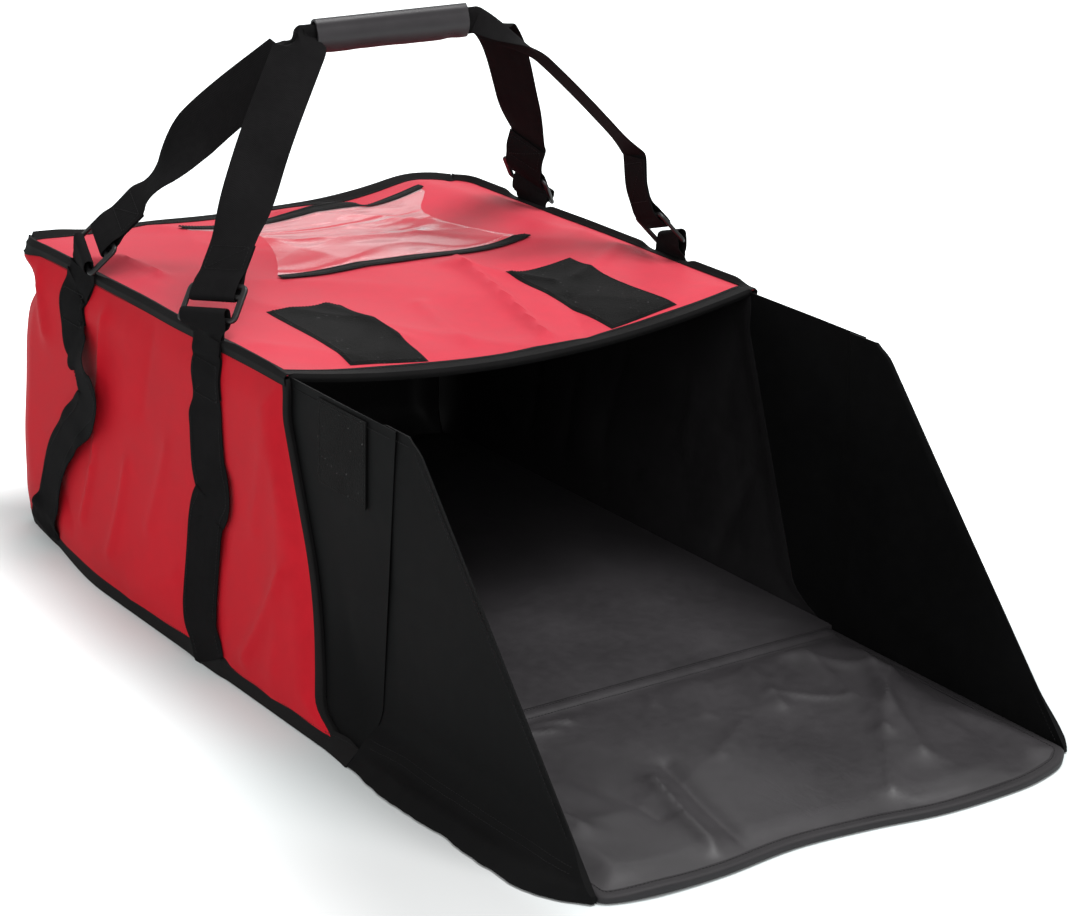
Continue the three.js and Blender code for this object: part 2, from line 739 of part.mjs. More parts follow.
// Free run from a buckle to the grip: the webbing folds as it comes near
function strapRun(buckle, y) {
  const from = onBuckle(buckle, buckleTop + strapTail, plyOffset);
  const to = point(gripX + buckle.side * (gripLength / 2 + 3 * gripLead), y, gripZ);
  const lead = from.clone().addScaledVector(buckle.up, 60);
  const leave = point(buckle.side, 0.5 * Math.sign(y - gripY), -0.35);
  const bow = to.clone().addScaledVector(leave, 42);
  const curve = new THREE.CubicBezierCurve3(from, lead, bow, to);
  const level = point(0, -1, 0);
  return evenSteps(14).slice(1).map((t) => ({
    at: curve.getPoint(t),
    width: buckle.bar.clone().lerp(level, smoothStep(t)).normalize(),
    fold: Math.PI * smoothStep((t - 0.45) / 0.55),
    radius: foldRadius
  }));
}

function handleStrap(left, right, y) {
  const half = gripLength / 2;
  const places = [-half - 2 * gripLead, -half - gripLead, 0, half + gripLead, half + 2 * gripLead];
  const inGrip = places.map((x) => ({
    at: point(gripX + x, y, gripZ),
    width: point(0, -1, 0),
    fold: Math.PI,
    radius: foldRadius
  }));
  const leftEnd = [...strapEnd(left), ...strapRun(left, y)];
  const rightEnd = [...strapEnd(right), ...strapRun(right, y)].reverse();
  return webbingStrip([...leftEnd, ...inGrip, ...rightEnd], handleFolds);
}

// The two straps lie side by side in the grip, each folded in half
const strapApart = foldRadius + webbing / 2 + layerGap;
addPart('front_handle_strap',
  handleStrap(buckles[0], buckles[1], gripY - strapApart), webbingCloth);
addPart('rear_handle_strap',
  handleStrap(buckles[2], buckles[3], gripY + strapApart), webbingCloth);

// Grip wrap: a sleeve closed along its lower edge, round both folded straps
function gripWrap() {
  const inner = strapApart + foldRadius + webbing / 2 + gripPlay;
  const ridge = -foldRadius;
  const leg = (webbingWidth - Math.PI * foldRadius) / 2 + gripPlay;
  const foot = ridge - leg - 0.7;
  const slit = 0.4;
  const half = (radius, low) => {
    const arc = evenSteps(8).map((t) => {
      const angle = Math.PI * t;
      return [radius * Math.cos(angle), ridge + radius * Math.sin(angle)];
    });
    const right = [[slit, low], [radius * 0.85, low + radius * 0.1], [radius, low + radius * 0.35]];
    const left = right.map(([y, z]) => [-y, z]).reverse();
    return [...right, ...arc, ...left];
  };
  const profile = [...half(inner + gripWall, foot - gripWall), ...half(inner, foot).reverse()];
  return pushed(profile, gripX - gripLength / 2, gripX + gripLength / 2, (y, z, x) => (
    point(x, gripY + y, gripZ + z)));
}

addPart('grip_wrap', gripWrap(), gripCloth);

export default bag;
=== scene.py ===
import math
import bpy
import numpy as np
from mathutils import Matrix, Vector


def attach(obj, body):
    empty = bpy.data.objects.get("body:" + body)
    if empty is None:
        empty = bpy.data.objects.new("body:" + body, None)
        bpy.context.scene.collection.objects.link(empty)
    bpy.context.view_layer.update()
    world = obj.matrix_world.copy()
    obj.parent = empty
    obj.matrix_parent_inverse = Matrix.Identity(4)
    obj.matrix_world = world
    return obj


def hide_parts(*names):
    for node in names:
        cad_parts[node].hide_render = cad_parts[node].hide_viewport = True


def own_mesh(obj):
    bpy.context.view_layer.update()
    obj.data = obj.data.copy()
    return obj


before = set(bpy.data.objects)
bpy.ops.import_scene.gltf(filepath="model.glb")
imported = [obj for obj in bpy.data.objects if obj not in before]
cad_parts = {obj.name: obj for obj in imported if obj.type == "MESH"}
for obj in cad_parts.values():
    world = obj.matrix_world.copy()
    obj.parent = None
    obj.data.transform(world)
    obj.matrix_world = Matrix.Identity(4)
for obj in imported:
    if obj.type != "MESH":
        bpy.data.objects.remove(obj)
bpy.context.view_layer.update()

# Lengths are in millimetres here and become metres as each mesh is made.
# x runs across the bag, -y is the open front, z is up.
bag = {
    "halfWidth": 260, "height": 305, "foldY": -347.5, "rearY": 347.5, "sideFront": -307.5,
    "frontSlant": 110, "rearLean": 25, "topSag": 25, "rearDip": 7,
    "cloth": 0.8, "foam": 3.6, "lining": 0.6, "gap": 0.3, "tape": 0.8, "tapeReach": 13,
    "pinch": 15, "leftCorner": 12, "rightCorner": 46, "ear": 6.5,
}
wallDepth = bag["cloth"] + bag["foam"] + bag["lining"] + 2 * bag["gap"]
linerFace = bag["halfWidth"] - wallDepth
innerHalf = linerFace - bag["gap"]
topFront = bag["sideFront"] + bag["frontSlant"]
topRear = bag["rearY"] - bag["rearLean"]
wallTop = bag["height"] - wallDepth - bag["gap"]
foldZ = 9.8
upward, backward, forward = np.array([0, 0, 1.0]), np.array([0, 1.0, 0]), np.array([0, -1.0, 0])


# shapes on grids and paths

# joins arrays of matching shapes into one array of points
def stack(*parts):
    return np.stack(np.broadcast_arrays(*[np.asarray(p, float) for p in parts]), -1)


# the value a share t of the way from a to b
def mix(a, b, t):
    return a + (b - a) * t


# smooth step from nought to one
def smooth(t):
    t = np.clip(t, 0, 1)
    return t * t * (3 - 2 * t)


# vectors brought to length one
def unit(v):
    return v / np.maximum(np.linalg.norm(v, axis=-1, keepdims=True), 1e-9)


# a bell of height one about its middle
def bell(x, middle, width):
    return np.exp(-((x - middle) / width) ** 2)


# random values on a lattice of the given size, blended by a smooth step inside each cell
def noise(points, size, seed):
    q = np.asarray(points, float) / size + 400
    cell = np.floor(q).astype(np.int64)
    t = smooth(q - cell)

    def lattice(dx, dy, dz):
        h = ((cell[..., 0] + dx) * 73856093) ^ ((cell[..., 1] + dy) * 19349663)
        h = h ^ ((cell[..., 2] + dz) * 83492791) ^ (seed * 2654435)
        h = ((h ^ (h >> 13)) * 1274126177) & 0x7FFFFFFF
        return ((h ^ (h >> 15)) & 0xFFFF) / 65535

    def pair(dy, dz):
        return mix(lattice(0, dy, dz), lattice(1, dy, dz), t[..., 0])

    low = mix(pair(0, 0), pair(1, 0), t[..., 1])
    high = mix(pair(0, 1), pair(1, 1), t[..., 1])
    return mix(low, high, t[..., 2])


# noise folded about its middle, which leaves narrow raised creases
def creases(points, size, seed):
    return (1 - np.abs(2 * noise(points, size, seed) - 1)) ** 2


# raised or sunk folds along lines (x0, y0, x1, y1, height, width), with a narrow crest
def lineFolds(x, y, lines):
    total = np.zeros(np.broadcast(x, y).shape)
    for x0, y0, x1, y1, height, width in lines:
        dx, dy = x1 - x0, y1 - y0
        t = np.clip(((x - x0) * dx + (y - y0) * dy) / (dx * dx + dy * dy), 0, 1)
        away = np.hypot(x - x0 - t * dx, y - y0 - t * dy)
        bent = width * (0.7 + 0.6 * noise(stack(x, y, x0), 60, 8))
        total = total + height * np.exp(-1.6 * (np.sqrt((away / bent) ** 2 + 0.06) - 0.245))
    return total


# a smooth curve through the knots, spaced by how far apart they lie
def spline(knots, count, extra=None):
    knots = np.asarray(knots, float)
    data = knots if extra is None else np.concatenate([knots, extra], 1)
    gaps = np.sqrt(np.maximum(np.linalg.norm(np.diff(knots, axis=0), axis=1), 1e-6))
    at = np.concatenate([[0], np.cumsum(gaps)])
    slope = np.gradient(data, at, axis=0)
    where = np.linspace(0, at[-1], count)
    k = np.clip(np.searchsorted(at, where, side="right") - 1, 0, len(at) - 2)
    h = (at[k + 1] - at[k])[:, None]
    t = ((where - at[k])[:, None]) / h
    return ((2 * t**3 - 3 * t**2 + 1) * data[k] + (t**3 - 2 * t**2 + t) * h * slope[k]
            + (3 * t**2 - 2 * t**3) * data[k + 1] + (t**3 - t**2) * h * slope[k + 1])


# distance run at each point of a path
def lengthsAlong(path):
    return np.concatenate([[0], np.cumsum(np.linalg.norm(np.diff(path, axis=0), axis=1))])


# which way a path runs at each of its points
def heading(path):
    return unit(np.gradient(path, axis=0))


# points at even distances along a path
def evenly(path, step):
    lengths = lengthsAlong(path)
    count = max(2, int(lengths[-1] / step) + 1)
    at = np.linspace(0, lengths[-1], count)
    return np.stack([np.interp(at, lengths, path[:, k]) for k in range(path.shape[1])], 1)


# volume inside a closed mesh, to tell which way its faces look
def volumeOf(points, faces):
    total = 0
    for k in range(1, faces.shape[1] - 1):
        a, b, c = points[faces[:, 0]], points[faces[:, k]], points[faces[:, k + 1]]
        total += np.einsum("ij,ij->", a, np.cross(b, c))
    return total


# an object in the scene that shows the given data
def addObject(name, data):
    made = bpy.data.objects.new(name, data)
    bpy.context.scene.collection.objects.link(made)
    return made


# a mesh object from points, four-sided faces, end faces and flat places; its faces look out
def makeObject(name, points, quads, ends, uv, sharpAt=40):
    points = np.asarray(points, float)
    centred = points - points.mean(0)
    volume = volumeOf(centred, quads) + sum(volumeOf(centred, np.array([e])) for e in ends)
    faces = quads[:, ::-1] if volume < 0 else quads
    caps = [list(e)[::-1] if volume < 0 else list(e) for e in ends]
    mesh = bpy.data.meshes.new(name)
    mesh.from_pydata((points * 0.001).tolist(), [], [*faces.tolist(), *caps])
    layer = mesh.uv_layers.new(name="cloth")
    loops = np.zeros(len(mesh.loops), np.int32)
    mesh.loops.foreach_get("vertex_index", loops)
    layer.data.foreach_set("uv", (np.asarray(uv)[loops] * 0.001).ravel())
    mesh.polygons.foreach_set("use_smooth", np.ones(len(mesh.polygons), bool))
    mesh.set_sharp_from_angle(angle=math.radians(sharpAt))
    mesh.update()
    return addObject(name, mesh)


# gives a piece its look and its body and hides the solids that it stands for; slotName is not used
def finishPiece(piece, look, body, slotName, nodes=()):
    piece.data.materials.clear()
    piece.data.materials.append(looks[look])
    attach(piece, body)
    if nodes:
        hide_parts(*nodes)
    return piece


# a closed sheet: surface(u, v, depth) is taken at two depths and joined along its rim
def sheetObject(name, surface, near, far, columns, rows, size):
    u, v = np.meshgrid(columns, rows)
    points = np.concatenate([surface(u, v, d).reshape(-1, 3) for d in (near, far)])
    h, w = u.shape
    index = np.arange(h * w).reshape(h, w)
    a, b, c, d = index[:-1, :-1], index[:-1, 1:], index[1:, 1:], index[1:, :-1]
    face = np.stack([a, b, c, d], -1).reshape(-1, 4)
    rim = np.concatenate([index[0, :-1], index[:-1, -1], index[-1, :0:-1], index[:0:-1, 0]])
    turn = np.roll(rim, -1)
    low = h * w
    border = np.stack([turn, rim, rim + low, turn + low], -1)
    quads = np.concatenate([face, face[:, ::-1] + low, border])
    flat = stack(u * size[0], v * size[1]).reshape(-1, 2)
    return makeObject(name, points, quads, [], np.concatenate([flat, flat]))


# four-sided faces between neighbouring rings of points
def ringFaces(index):
    a, b = index[:-1], index[1:]
    return np.stack([a, np.roll(a, -1, 1), np.roll(b, -1, 1), b], -1).reshape(-1, 4)


# a closed profile carried through sections[n, k, 3]; its ends are capped unless it is a ring
def sweepObject(name, sections, ring=False, fine=50):
    sections = np.asarray(sections, float)
    n, k = sections.shape[:2]
    index = np.arange(n * k).reshape(n, k)
    if ring:
        index = np.concatenate([index, index[:1]])
    ends = [] if ring else [index[0][::-1].tolist(), index[-1].tolist()]
    around, along = lengthsAlong(sections[n // 2]), lengthsAlong(sections.mean(1))
    uv = stack(around[None, :], along[:, None]).reshape(-1, 2)
    return makeObject(name, sections.reshape(-1, 3), ringFaces(index), ends, uv, fine)


# a sheet named after its node, with its look and body
def dressSheet(node, surface, near, far, columns, rows, size, look, body, slotName, kind="cloth"):
    piece = sheetObject(f"{node}_{kind}", surface, near, far, columns, rows, size)
    return finishPiece(piece, look, body, slotName, [node])


# a band swept through its sections and named after its node
def dressBand(node, sections, look="tape", body="bag", slotName="seam_tape", kind="band"):
    return finishPiece(sweepObject(f"{node}_{kind}", sections), look, body, slotName, [node])


# sections of a tape: every point of its path moved by two amounts in two directions
def offsetSections(path, first, out, second, across):
    return path[:, None, :] + first[..., None] * out + second[..., None] * across


# the outline of an L, a U or a flat strip with rounded edges, from its middle line
def ribbonProfile(line, thickness, steps=3):
    line = np.asarray(line, float)
    fine = [line[0]]
    for a, b in zip(line[:-1], line[1:]):
        fine += [a + (b - a) * t for t in np.linspace(0, 1, steps + 1)[1:]]
    fine = np.array(fine)
    along = heading(fine)
    across = np.stack([-along[:, 1], along[:, 0]], 1) * thickness / 2
    start = fine[0] - along[0] * thickness * 0.35
    end = fine[-1] + along[-1] * thickness * 0.35
    return np.concatenate([[start], fine + across, [end], (fine - across)[::-1]])


# stitches: small round-ended threads in rows, one object for each body

thread = {"length": 2.5, "radius": 0.32, "pitch": 3.5, "lift": 0.12}
threadRows = {"bag": [], "flap": [], "leftWing": [], "rightWing": [], "handle": []}
sides = ((-1, "left"), (1, "right"))


# lays a row of stitches along a path; up points away from the cloth
def stitch(body, path, up):
    path = np.asarray(path, float)
    both = evenly(np.concatenate([path, np.broadcast_to(up, path.shape)], 1), thread["pitch"])
    at, normal = both[:, :3], unit(both[:, 3:])
    along = heading(at)
    threadRows[body].append((at[:-1] + np.diff(at, axis=0) / 2, along[:-1], normal[:-1]))


# each stitch is a thread of four six-sided rings (place along it, width, lift) and two ends
def makeStitches():
    rings = np.array([[-0.5, 0.35, -0.5], [-0.3, 1, 0.1], [0.3, 1, 0.1], [0.5, 0.35, -0.5]])
    around, r = 6, thread["radius"]
    corners = len(rings) * around
    quads = ringFaces(np.arange(corners).reshape(len(rings), around))
    caps = np.array([[0, 1, 2, 3], [0, 3, 4, 5], [21, 20, 19, 18], [23, 22, 21, 18]])
    local = np.concatenate([quads, caps[:, ::-1]])
    for body, rows in threadRows.items():
        at, along, up = (np.concatenate(values) for values in zip(*rows))
        side = np.cross(along, up)
        parts = []
        for place, wide, lift in rings:
            for angle in np.linspace(0, 2 * math.pi, around, endpoint=False):
                parts.append(at + along * place * thread["length"]
                             + side * math.cos(angle) * wide * r
                             + up * (math.sin(angle) * wide * r + lift * r + thread["lift"]))
        points = np.stack(parts, 1).reshape(-1, 3)
        faces = (np.arange(len(at))[:, None, None] * corners + local).reshape(-1, 4)
        piece = makeObject(f"{body}_stitching", points, faces, [], np.zeros((len(points), 2)), 60)
        finishPiece(piece, "thread", "wings" if "Wing" in body else body, "seam_tape")
        if "Wing" in body:
            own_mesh(piece)


# materials

# the node tree of a material or world, emptied
def emptyTree(block):
    block.use_nodes = True
    block.node_tree.nodes.clear()
    return block.node_tree


# feeds a node's inputs: a socket is linked, any other value is set
def feed(tree, node, sockets):
    for key, value in sockets.items():
        if isinstance(value, bpy.types.NodeSocket):
            tree.links.new(value, node.inputs[key])
        else:
            node.inputs[key].default_value = value
    return node


# a new shader node with its settings and inputs
def put(tree, kind, settings=None, sockets=None):
    node = tree.nodes.new("ShaderNode" + kind)
    for key, value in (settings or {}).items():
        setattr(node, key, value)
    return feed(tree, node, sockets or {})


# one step of arithmetic on sockets or values
def calc(tree, operation, a, b=0.0, c=0.0):
    return put(tree, "Math", {"operation": operation}, {0: a, 1: b, 2: c}).outputs[0]


# an empty node group with its inputs (label, kind, value) and outputs (label, kind)
def newGroup(name, inputs, outputs):
    tree = bpy.data.node_groups.new(name, "ShaderNodeTree")
    for label, kind, value in inputs:
        socket = tree.interface.new_socket(name=label, in_out="INPUT", socket_type=kind)
        if value is not None:
            socket.default_value = value
    for label, kind in outputs:
        tree.interface.new_socket(name=label, in_out="OUTPUT", socket_type=kind)
    return tree, tree.nodes.new("NodeGroupInput"), tree.nodes.new("NodeGroupOutput")


# the result of a node group with its inputs
def useGroup(tree, group, **sockets):
    return put(tree, "Group", {"node_tree": group}, sockets).outputs[0]


# place on the object, in metres
def objectPlace(tree):
    return put(tree, "TexCoord").outputs["Object"]


# a value brought from one range to another, by a smooth step where it is soft
def ranged(tree, value, low, high, to=(0.0, 1.0), soft=False):
    return put(tree, "MapRange", {"interpolation_type": "SMOOTHSTEP" if soft else "LINEAR"},
               {"Value": value, "From Min": low, "From Max": high, "To Min": to[0],
                "To Max": to[1]}).outputs[0]


# plain weave: half of one plus the product of two sines, one along each thread direction
def makeWeave():
    tree, start, end = newGroup(
        "plainWeave", [("Place", "NodeSocketVector", None), ("Pitch", "NodeSocketFloat", 0.0008)],
        [("Height", "NodeSocketFloat")])
    split = put(tree, "SeparateXYZ", None, {0: start.outputs["Place"]})
    turns = calc(tree, "DIVIDE", 2 * math.pi, start.outputs["Pitch"])
    waves = [calc(tree, "SINE", calc(tree, "MULTIPLY", split.outputs[k], turns)) for k in (0, 1)]
    height = calc(tree, "MULTIPLY_ADD", calc(tree, "MULTIPLY", waves[0], waves[1]), 0.5, 0.5)
    tree.links.new(height, end.inputs[0])
    return tree


# ribbed weave: the size of a sine along the band, its phase moved by a zigzag across it
def makeRibs():
    tree, start, end = newGroup(
        "ribWeave", [("Place", "NodeSocketVector", None), ("Pitch", "NodeSocketFloat", 0.0016),
                     ("Zigzag", "NodeSocketFloat", 0.006), ("Slope", "NodeSocketFloat", 0.5)],
        [("Height", "NodeSocketFloat")])
    split = put(tree, "SeparateXYZ", None, {0: start.outputs["Place"]})
    zig = calc(tree, "PINGPONG", split.outputs[0], start.outputs["Zigzag"])
    along = calc(tree, "MULTIPLY_ADD", zig, start.outputs["Slope"], split.outputs[1])
    wave = calc(tree, "SINE", calc(tree, "DIVIDE", calc(tree, "MULTIPLY", along, math.pi),
                                   start.outputs["Pitch"]))
    fine = calc(tree, "SINE", calc(tree, "MULTIPLY", split.outputs[0], 2 * math.pi / 0.0009))
    raised = calc(tree, "MULTIPLY_ADD", calc(tree, "ABSOLUTE", wave), 0.8, 0.1)
    tree.links.new(calc(tree, "MULTIPLY_ADD", fine, 0.1, raised), end.inputs[0])
    return tree


# uneven tone: coarse noise plus half of fine noise, spread between nought and one
def makeTone():
    tree, start, end = newGroup(
        "unevenTone", [("Place", "NodeSocketVector", None), ("Scale", "NodeSocketFloat", 12.0)],
        [("Mask", "NodeSocketFloat")])
    coarse = put(tree, "TexNoise", None, {"Vector": start.outputs["Place"],
                                          "Scale": start.outputs["Scale"], "Detail": 4.0})
    fine = put(tree, "TexNoise", None, {
        "Vector": start.outputs["Place"], "Detail": 3.0,
        "Scale": calc(tree, "MULTIPLY", start.outputs["Scale"], 9.0)})
    both = calc(tree, "MULTIPLY_ADD", fine.outputs[0], 0.5, coarse.outputs[0])
    tree.links.new(ranged(tree, both, 0.5, 1.0), end.inputs[0])
    return tree


# soft handling marks: stretched noise, sharpened about its middle
def makeRumple():
    tree, start, end = newGroup(
        "fineRumple", [("Place", "NodeSocketVector", None), ("Scale", "NodeSocketFloat", 30.0),
                       ("Stretch", "NodeSocketFloat", 0.4), ("Detail", "NodeSocketFloat", 5.0)],
        [("Height", "NodeSocketFloat")])
    split = put(tree, "SeparateXYZ", None, {0: start.outputs["Place"]})
    squeezed = calc(tree, "MULTIPLY", split.outputs[1], start.outputs["Stretch"])
    place = put(tree, "CombineXYZ", None, {0: split.outputs[0], 1: squeezed,
                                           2: split.outputs[2]})
    value = put(tree, "TexNoise", None, {
        "Vector": place.outputs[0], "Detail": start.outputs["Detail"], "Roughness": 0.55,
        "Distortion": 0.6, "Scale": start.outputs["Scale"]})
    middle = calc(tree, "ABSOLUTE", calc(tree, "SUBTRACT", value.outputs[0], 0.5))
    soft = calc(tree, "SUBTRACT", 0.5, middle)
    tree.links.new(calc(tree, "MULTIPLY", soft, value.outputs[0]), end.inputs[0])
    return tree


weave, ribs, tone, rumple = makeWeave(), makeRibs(), makeTone(), makeRumple()
looks = {}


# a new material with an empty coated surface
def newLook(name):
    material = bpy.data.materials.new(name)
    tree = emptyTree(material)
    surface = put(tree, "BsdfPrincipled")
    out = put(tree, "OutputMaterial", None, {0: surface.outputs[0]})
    looks[name] = material
    return tree, surface, out


# relief from a height in metres, over another normal where one is given
def bump(tree, height, distance, strength=1.0, normal=None):
    sockets = {"Height": height, "Distance": distance, "Strength": strength}
    if normal is not None:
        sockets["Normal"] = normal
    return put(tree, "Bump", None, sockets).outputs[0]


# blends two colours, each a socket or three numbers
def blendColours(tree, mask, a, b):
    a, b = (x if isinstance(x, bpy.types.NodeSocket) else (*x, 1) for x in (a, b))
    return put(tree, "Mix", {"data_type": "RGBA"}, {0: mask, 6: a, 7: b}).outputs[2]


clothLooks = {
    "red": {"dark": (0.455, 0.005, 0.014), "light": (0.55, 0.009, 0.020), "rough": 0.62,
            "shine": 0.11, "sheen": 0.025, "pitch": 0.0009, "weave": 0.00008, "rumple": 0.0009},
    # the top's red, made paler and pinker than the sides' red: a painted sheen from the overhead light
    "topRedPaintedSheen": {"dark": (0.50, 0.036, 0.058), "light": (0.60, 0.044, 0.070), "rough": 0.62,
               "shine": 0.14, "sheen": 0.05, "pitch": 0.0009, "weave": 0.00008,
               "rumple": 0.0009},
    "black": {"dark": (0.0027, 0.0027, 0.0028), "light": (0.0046, 0.0046, 0.0048), "rough": 0.6,
              "shine": 0.07, "sheen": 0.0, "pitch": 0.0009, "weave": 0.00007,
              "rumple": 0.0009},
    "lining": {"dark": (0.025, 0.0232, 0.025), "light": (0.037, 0.0342, 0.037), "rough": 0.46,
               "shine": 0.45, "sheen": 0.0, "pitch": 0.0006, "weave": 0.00003,
               "rumple": 0.0026},
    # the walls' lining: the same lining made darker, painted shade inside the bag
    "shadedWallLining": {"dark": (0.0095, 0.0088, 0.0095), "light": (0.015, 0.014, 0.015),
                   "rough": 0.5, "shine": 0.3, "sheen": 0.0, "pitch": 0.0006, "weave": 0.00003,
                   "rumple": 0.0014},
    "hem": {"dark": (0.018, 0.0165, 0.018), "light": (0.027, 0.025, 0.027), "rough": 0.6,
            "shine": 0.25, "sheen": 0.0, "pitch": 0.0006, "weave": 0.00004, "rumple": 0.0014},
    "grip": {"dark": (0.020, 0.018, 0.020), "light": (0.030, 0.027, 0.030), "rough": 0.4,
             "shine": 0.5, "sheen": 0.03, "pitch": 0.0005, "weave": 0.00002,
             "rumple": 0.0006},
}


# coated cloth: two close colours by uneven tone, a painted sheen that makes it paler where it
# turns away, uneven gloss, weave and rumples
def makeCloths():
    for name, c in clothLooks.items():
        tree, surface, _ = newLook(name)
        uv = put(tree, "UVMap", {"uv_map": "cloth"}).outputs[0]
        place = objectPlace(tree)
        mask = useGroup(tree, tone, Place=place, Scale=9.0)
        threads = useGroup(tree, weave, Place=uv, Pitch=c["pitch"])
        folds = useGroup(tree, rumple, Place=place, Scale=16.0)
        base = blendColours(tree, mask, c["dark"], c["light"])
        edge = put(tree, "LayerWeight", None, {"Blend": 0.35}).outputs["Facing"]
        # painted sheen: the colour made paler where the surface turns away from the camera
        paintedSheenColour = blendColours(tree, calc(tree, "MULTIPLY", edge, 0.2), base,
                            tuple(min(1, x * 1.3 + 0.002) for x in c["light"]))
        normal = bump(tree, folds, c["rumple"], 0.6)
        feed(tree, surface, {
            "Base Color": paintedSheenColour, "Specular IOR Level": c["shine"],
            "Roughness": calc(tree, "MULTIPLY_ADD", mask, 0.12, c["rough"] - 0.06),
            "Sheen Weight": c["sheen"], "Sheen Roughness": 0.45,
            "Normal": bump(tree, threads, c["weave"], 0.7, normal)})


bandLooks = {
    "webbing": {"dark": (0.005, 0.0048, 0.005), "light": (0.0115, 0.011, 0.0115), "rough": 0.75,
                "shine": 0.08, "pitch": 0.0017, "zigzag": 0.00625, "slope": 0.55, "depth": 0.00022},
    "tape": {"dark": (0.0042, 0.004, 0.0041), "light": (0.009, 0.0086, 0.0088), "rough": 0.62,
             "shine": 0.3, "pitch": 0.0011, "zigzag": 0.02, "slope": 0.0, "depth": 0.00014},
    "thread": {"dark": (0.012, 0.0115, 0.012), "light": (0.022, 0.021, 0.022), "rough": 0.5,
               "shine": 0.3, "pitch": 0.0006, "zigzag": 0.002, "slope": 0.6, "depth": 0.00005},
}


# woven band: ribs by a zigzag sine, paler on the ribs and by uneven tone
def makeBands():
    for name, c in bandLooks.items():
        tree, surface, _ = newLook(name)
        uv = put(tree, "UVMap", {"uv_map": "cloth"}).outputs[0]
        mask = useGroup(tree, tone, Place=objectPlace(tree), Scale=20.0)
        height = useGroup(tree, ribs, Place=uv, Pitch=c["pitch"], Zigzag=c["zigzag"],
                          Slope=c["slope"])
        both = calc(tree, "MULTIPLY", calc(tree, "ADD", mask, height), 0.5)
        feed(tree, surface, {
            "Base Color": blendColours(tree, both, c["dark"], c["light"]),
            "Roughness": c["rough"], "IOR": 1.25, "Specular IOR Level": c["shine"],
            "Normal": bump(tree, height, c["depth"], 0.9)})


# loop pile: dark, rough, with close curls from a cell pattern over fine noise and pale specks
def makePile():
    tree, surface, _ = newLook("pile")
    place = objectPlace(tree)
    curls = put(tree, "TexVoronoi", {"feature": "F1"}, {"Vector": place, "Scale": 850.0})
    fuzz = put(tree, "TexNoise", None, {"Vector": place, "Scale": 420.0, "Detail": 4.0})
    lint = put(tree, "TexNoise", None, {"Vector": place, "Scale": 260.0, "Detail": 2.0})
    mask = useGroup(tree, tone, Place=place, Scale=40.0)
    specks = ranged(tree, lint.outputs[0], 0.7, 0.78)
    pile = blendColours(tree, mask, (0.0022, 0.0022, 0.0022), (0.0055, 0.0055, 0.0055))
    height = calc(tree, "MULTIPLY", calc(tree, "SUBTRACT", 1.0, curls.outputs[0]),
                  fuzz.outputs[0])
    feed(tree, surface, {
        "Base Color": blendColours(tree, specks, pile, (0.12, 0.12, 0.12)), "Roughness": 0.9,
        "Specular IOR Level": 0.12, "Sheen Weight": 0.03,
        "Normal": bump(tree, height, 0.0009, 0.9)})


plasticLooks = (("buckle", (0.006, 0.006, 0.0063), 0.36), ("board", (0.03, 0.03, 0.03), 0.6))


# moulded plastic: faint mottling in the gloss, fine scratches, paler rubbed edges
def makePlastics():
    for name, colour, rough in plasticLooks:
        tree, surface, _ = newLook(name)
        place = objectPlace(tree)
        mottle = useGroup(tree, tone, Place=place, Scale=60.0)
        scratch = useGroup(tree, rumple, Place=place, Scale=300.0, Stretch=0.05)
        edge = ranged(tree, put(tree, "NewGeometry").outputs["Pointiness"], 0.52, 0.62)
        rubbed = tuple(x * 2 + 0.004 for x in colour)
        feed(tree, surface, {
            "Base Color": blendColours(tree, edge, colour, rubbed),
            "Roughness": calc(tree, "MULTIPLY_ADD", mottle, 0.14, rough - 0.05),
            "Normal": bump(tree, scratch, 0.00006, 0.5)})


# closed-cell foam: small cells from a distance pattern, off-white
def makeFoam():
    tree, surface, _ = newLook("foam")
    place = objectPlace(tree)
    cells = put(tree, "TexVoronoi", {"feature": "F1"}, {"Vector": place, "Scale": 900.0})
    mask = useGroup(tree, tone, Place=place, Scale=25.0)
    feed(tree, surface, {
        "Base Color": blendColours(tree, mask, (0.62, 0.60, 0.56), (0.74, 0.73, 0.69)),
        "Roughness": 0.9, "Normal": bump(tree, cells.outputs[0], 0.0002, 0.6)})


# clear vinyl: mostly see-through, its gloss, and a pale tint growing where it turns away,
# partly its own milky haze and partly a painted reflection
def makeVinyl():
    tree, surface, out = newLook("vinyl")
    folds = useGroup(tree, rumple, Place=objectPlace(tree), Scale=6.0, Stretch=3.2, Detail=1.2)
    normal = bump(tree, folds, 0.03, 1.0)
    feed(tree, surface, {"Base Color": (0.95, 0.93, 0.94, 1), "Roughness": 0.1, "IOR": 1.5,
                         "Normal": normal})
    clear = put(tree, "BsdfTransparent", None, {0: (1, 0.98, 0.98, 1)})
    facing = put(tree, "LayerWeight", None, {"Blend": 0.3, "Normal": normal})
    # pale tint where the sheet turns away: the vinyl's milky haze and a painted reflection
    hazeAndPaintedReflection = ranged(tree, facing.outputs["Facing"], 0.3, 0.95, (0.02, 0.42))
    both = put(tree, "MixShader", None, {0: hazeAndPaintedReflection, 1: clear.outputs[0], 2: surface.outputs[0]})
    feed(tree, out, {0: both.outputs[0]})


makeCloths()
makeBands()
makePile()
makePlastics()
makeFoam()
makeVinyl()
print("materials made")


# walls

wallEdges = {"sweep": 38, "sweepHeight": 38, "held": 11, "pinchHeight": 266, "wave": 3,
             "roll": 16, "rollHeight": 44, "belly": 10, "bellyHeight": 92, "bellyReach": 55}
splay = {"wall": 27, "wing": 37, "wallReach": 170, "wingReach": 50, "tipY": -663}


# front edge of a side: a straight slant, held back between two smooth steps, and swept
# forwards at its foot by a square
def wallFront(z):
    sweep = wallEdges["sweep"] * np.clip(1 - z / wallEdges["sweepHeight"], 0, 1) ** 2
    held = wallEdges["held"] * smooth(z / 30) * smooth((300 - z) / 40)
    return bag["sideFront"] + bag["frontSlant"] * z / bag["height"] + held - sweep


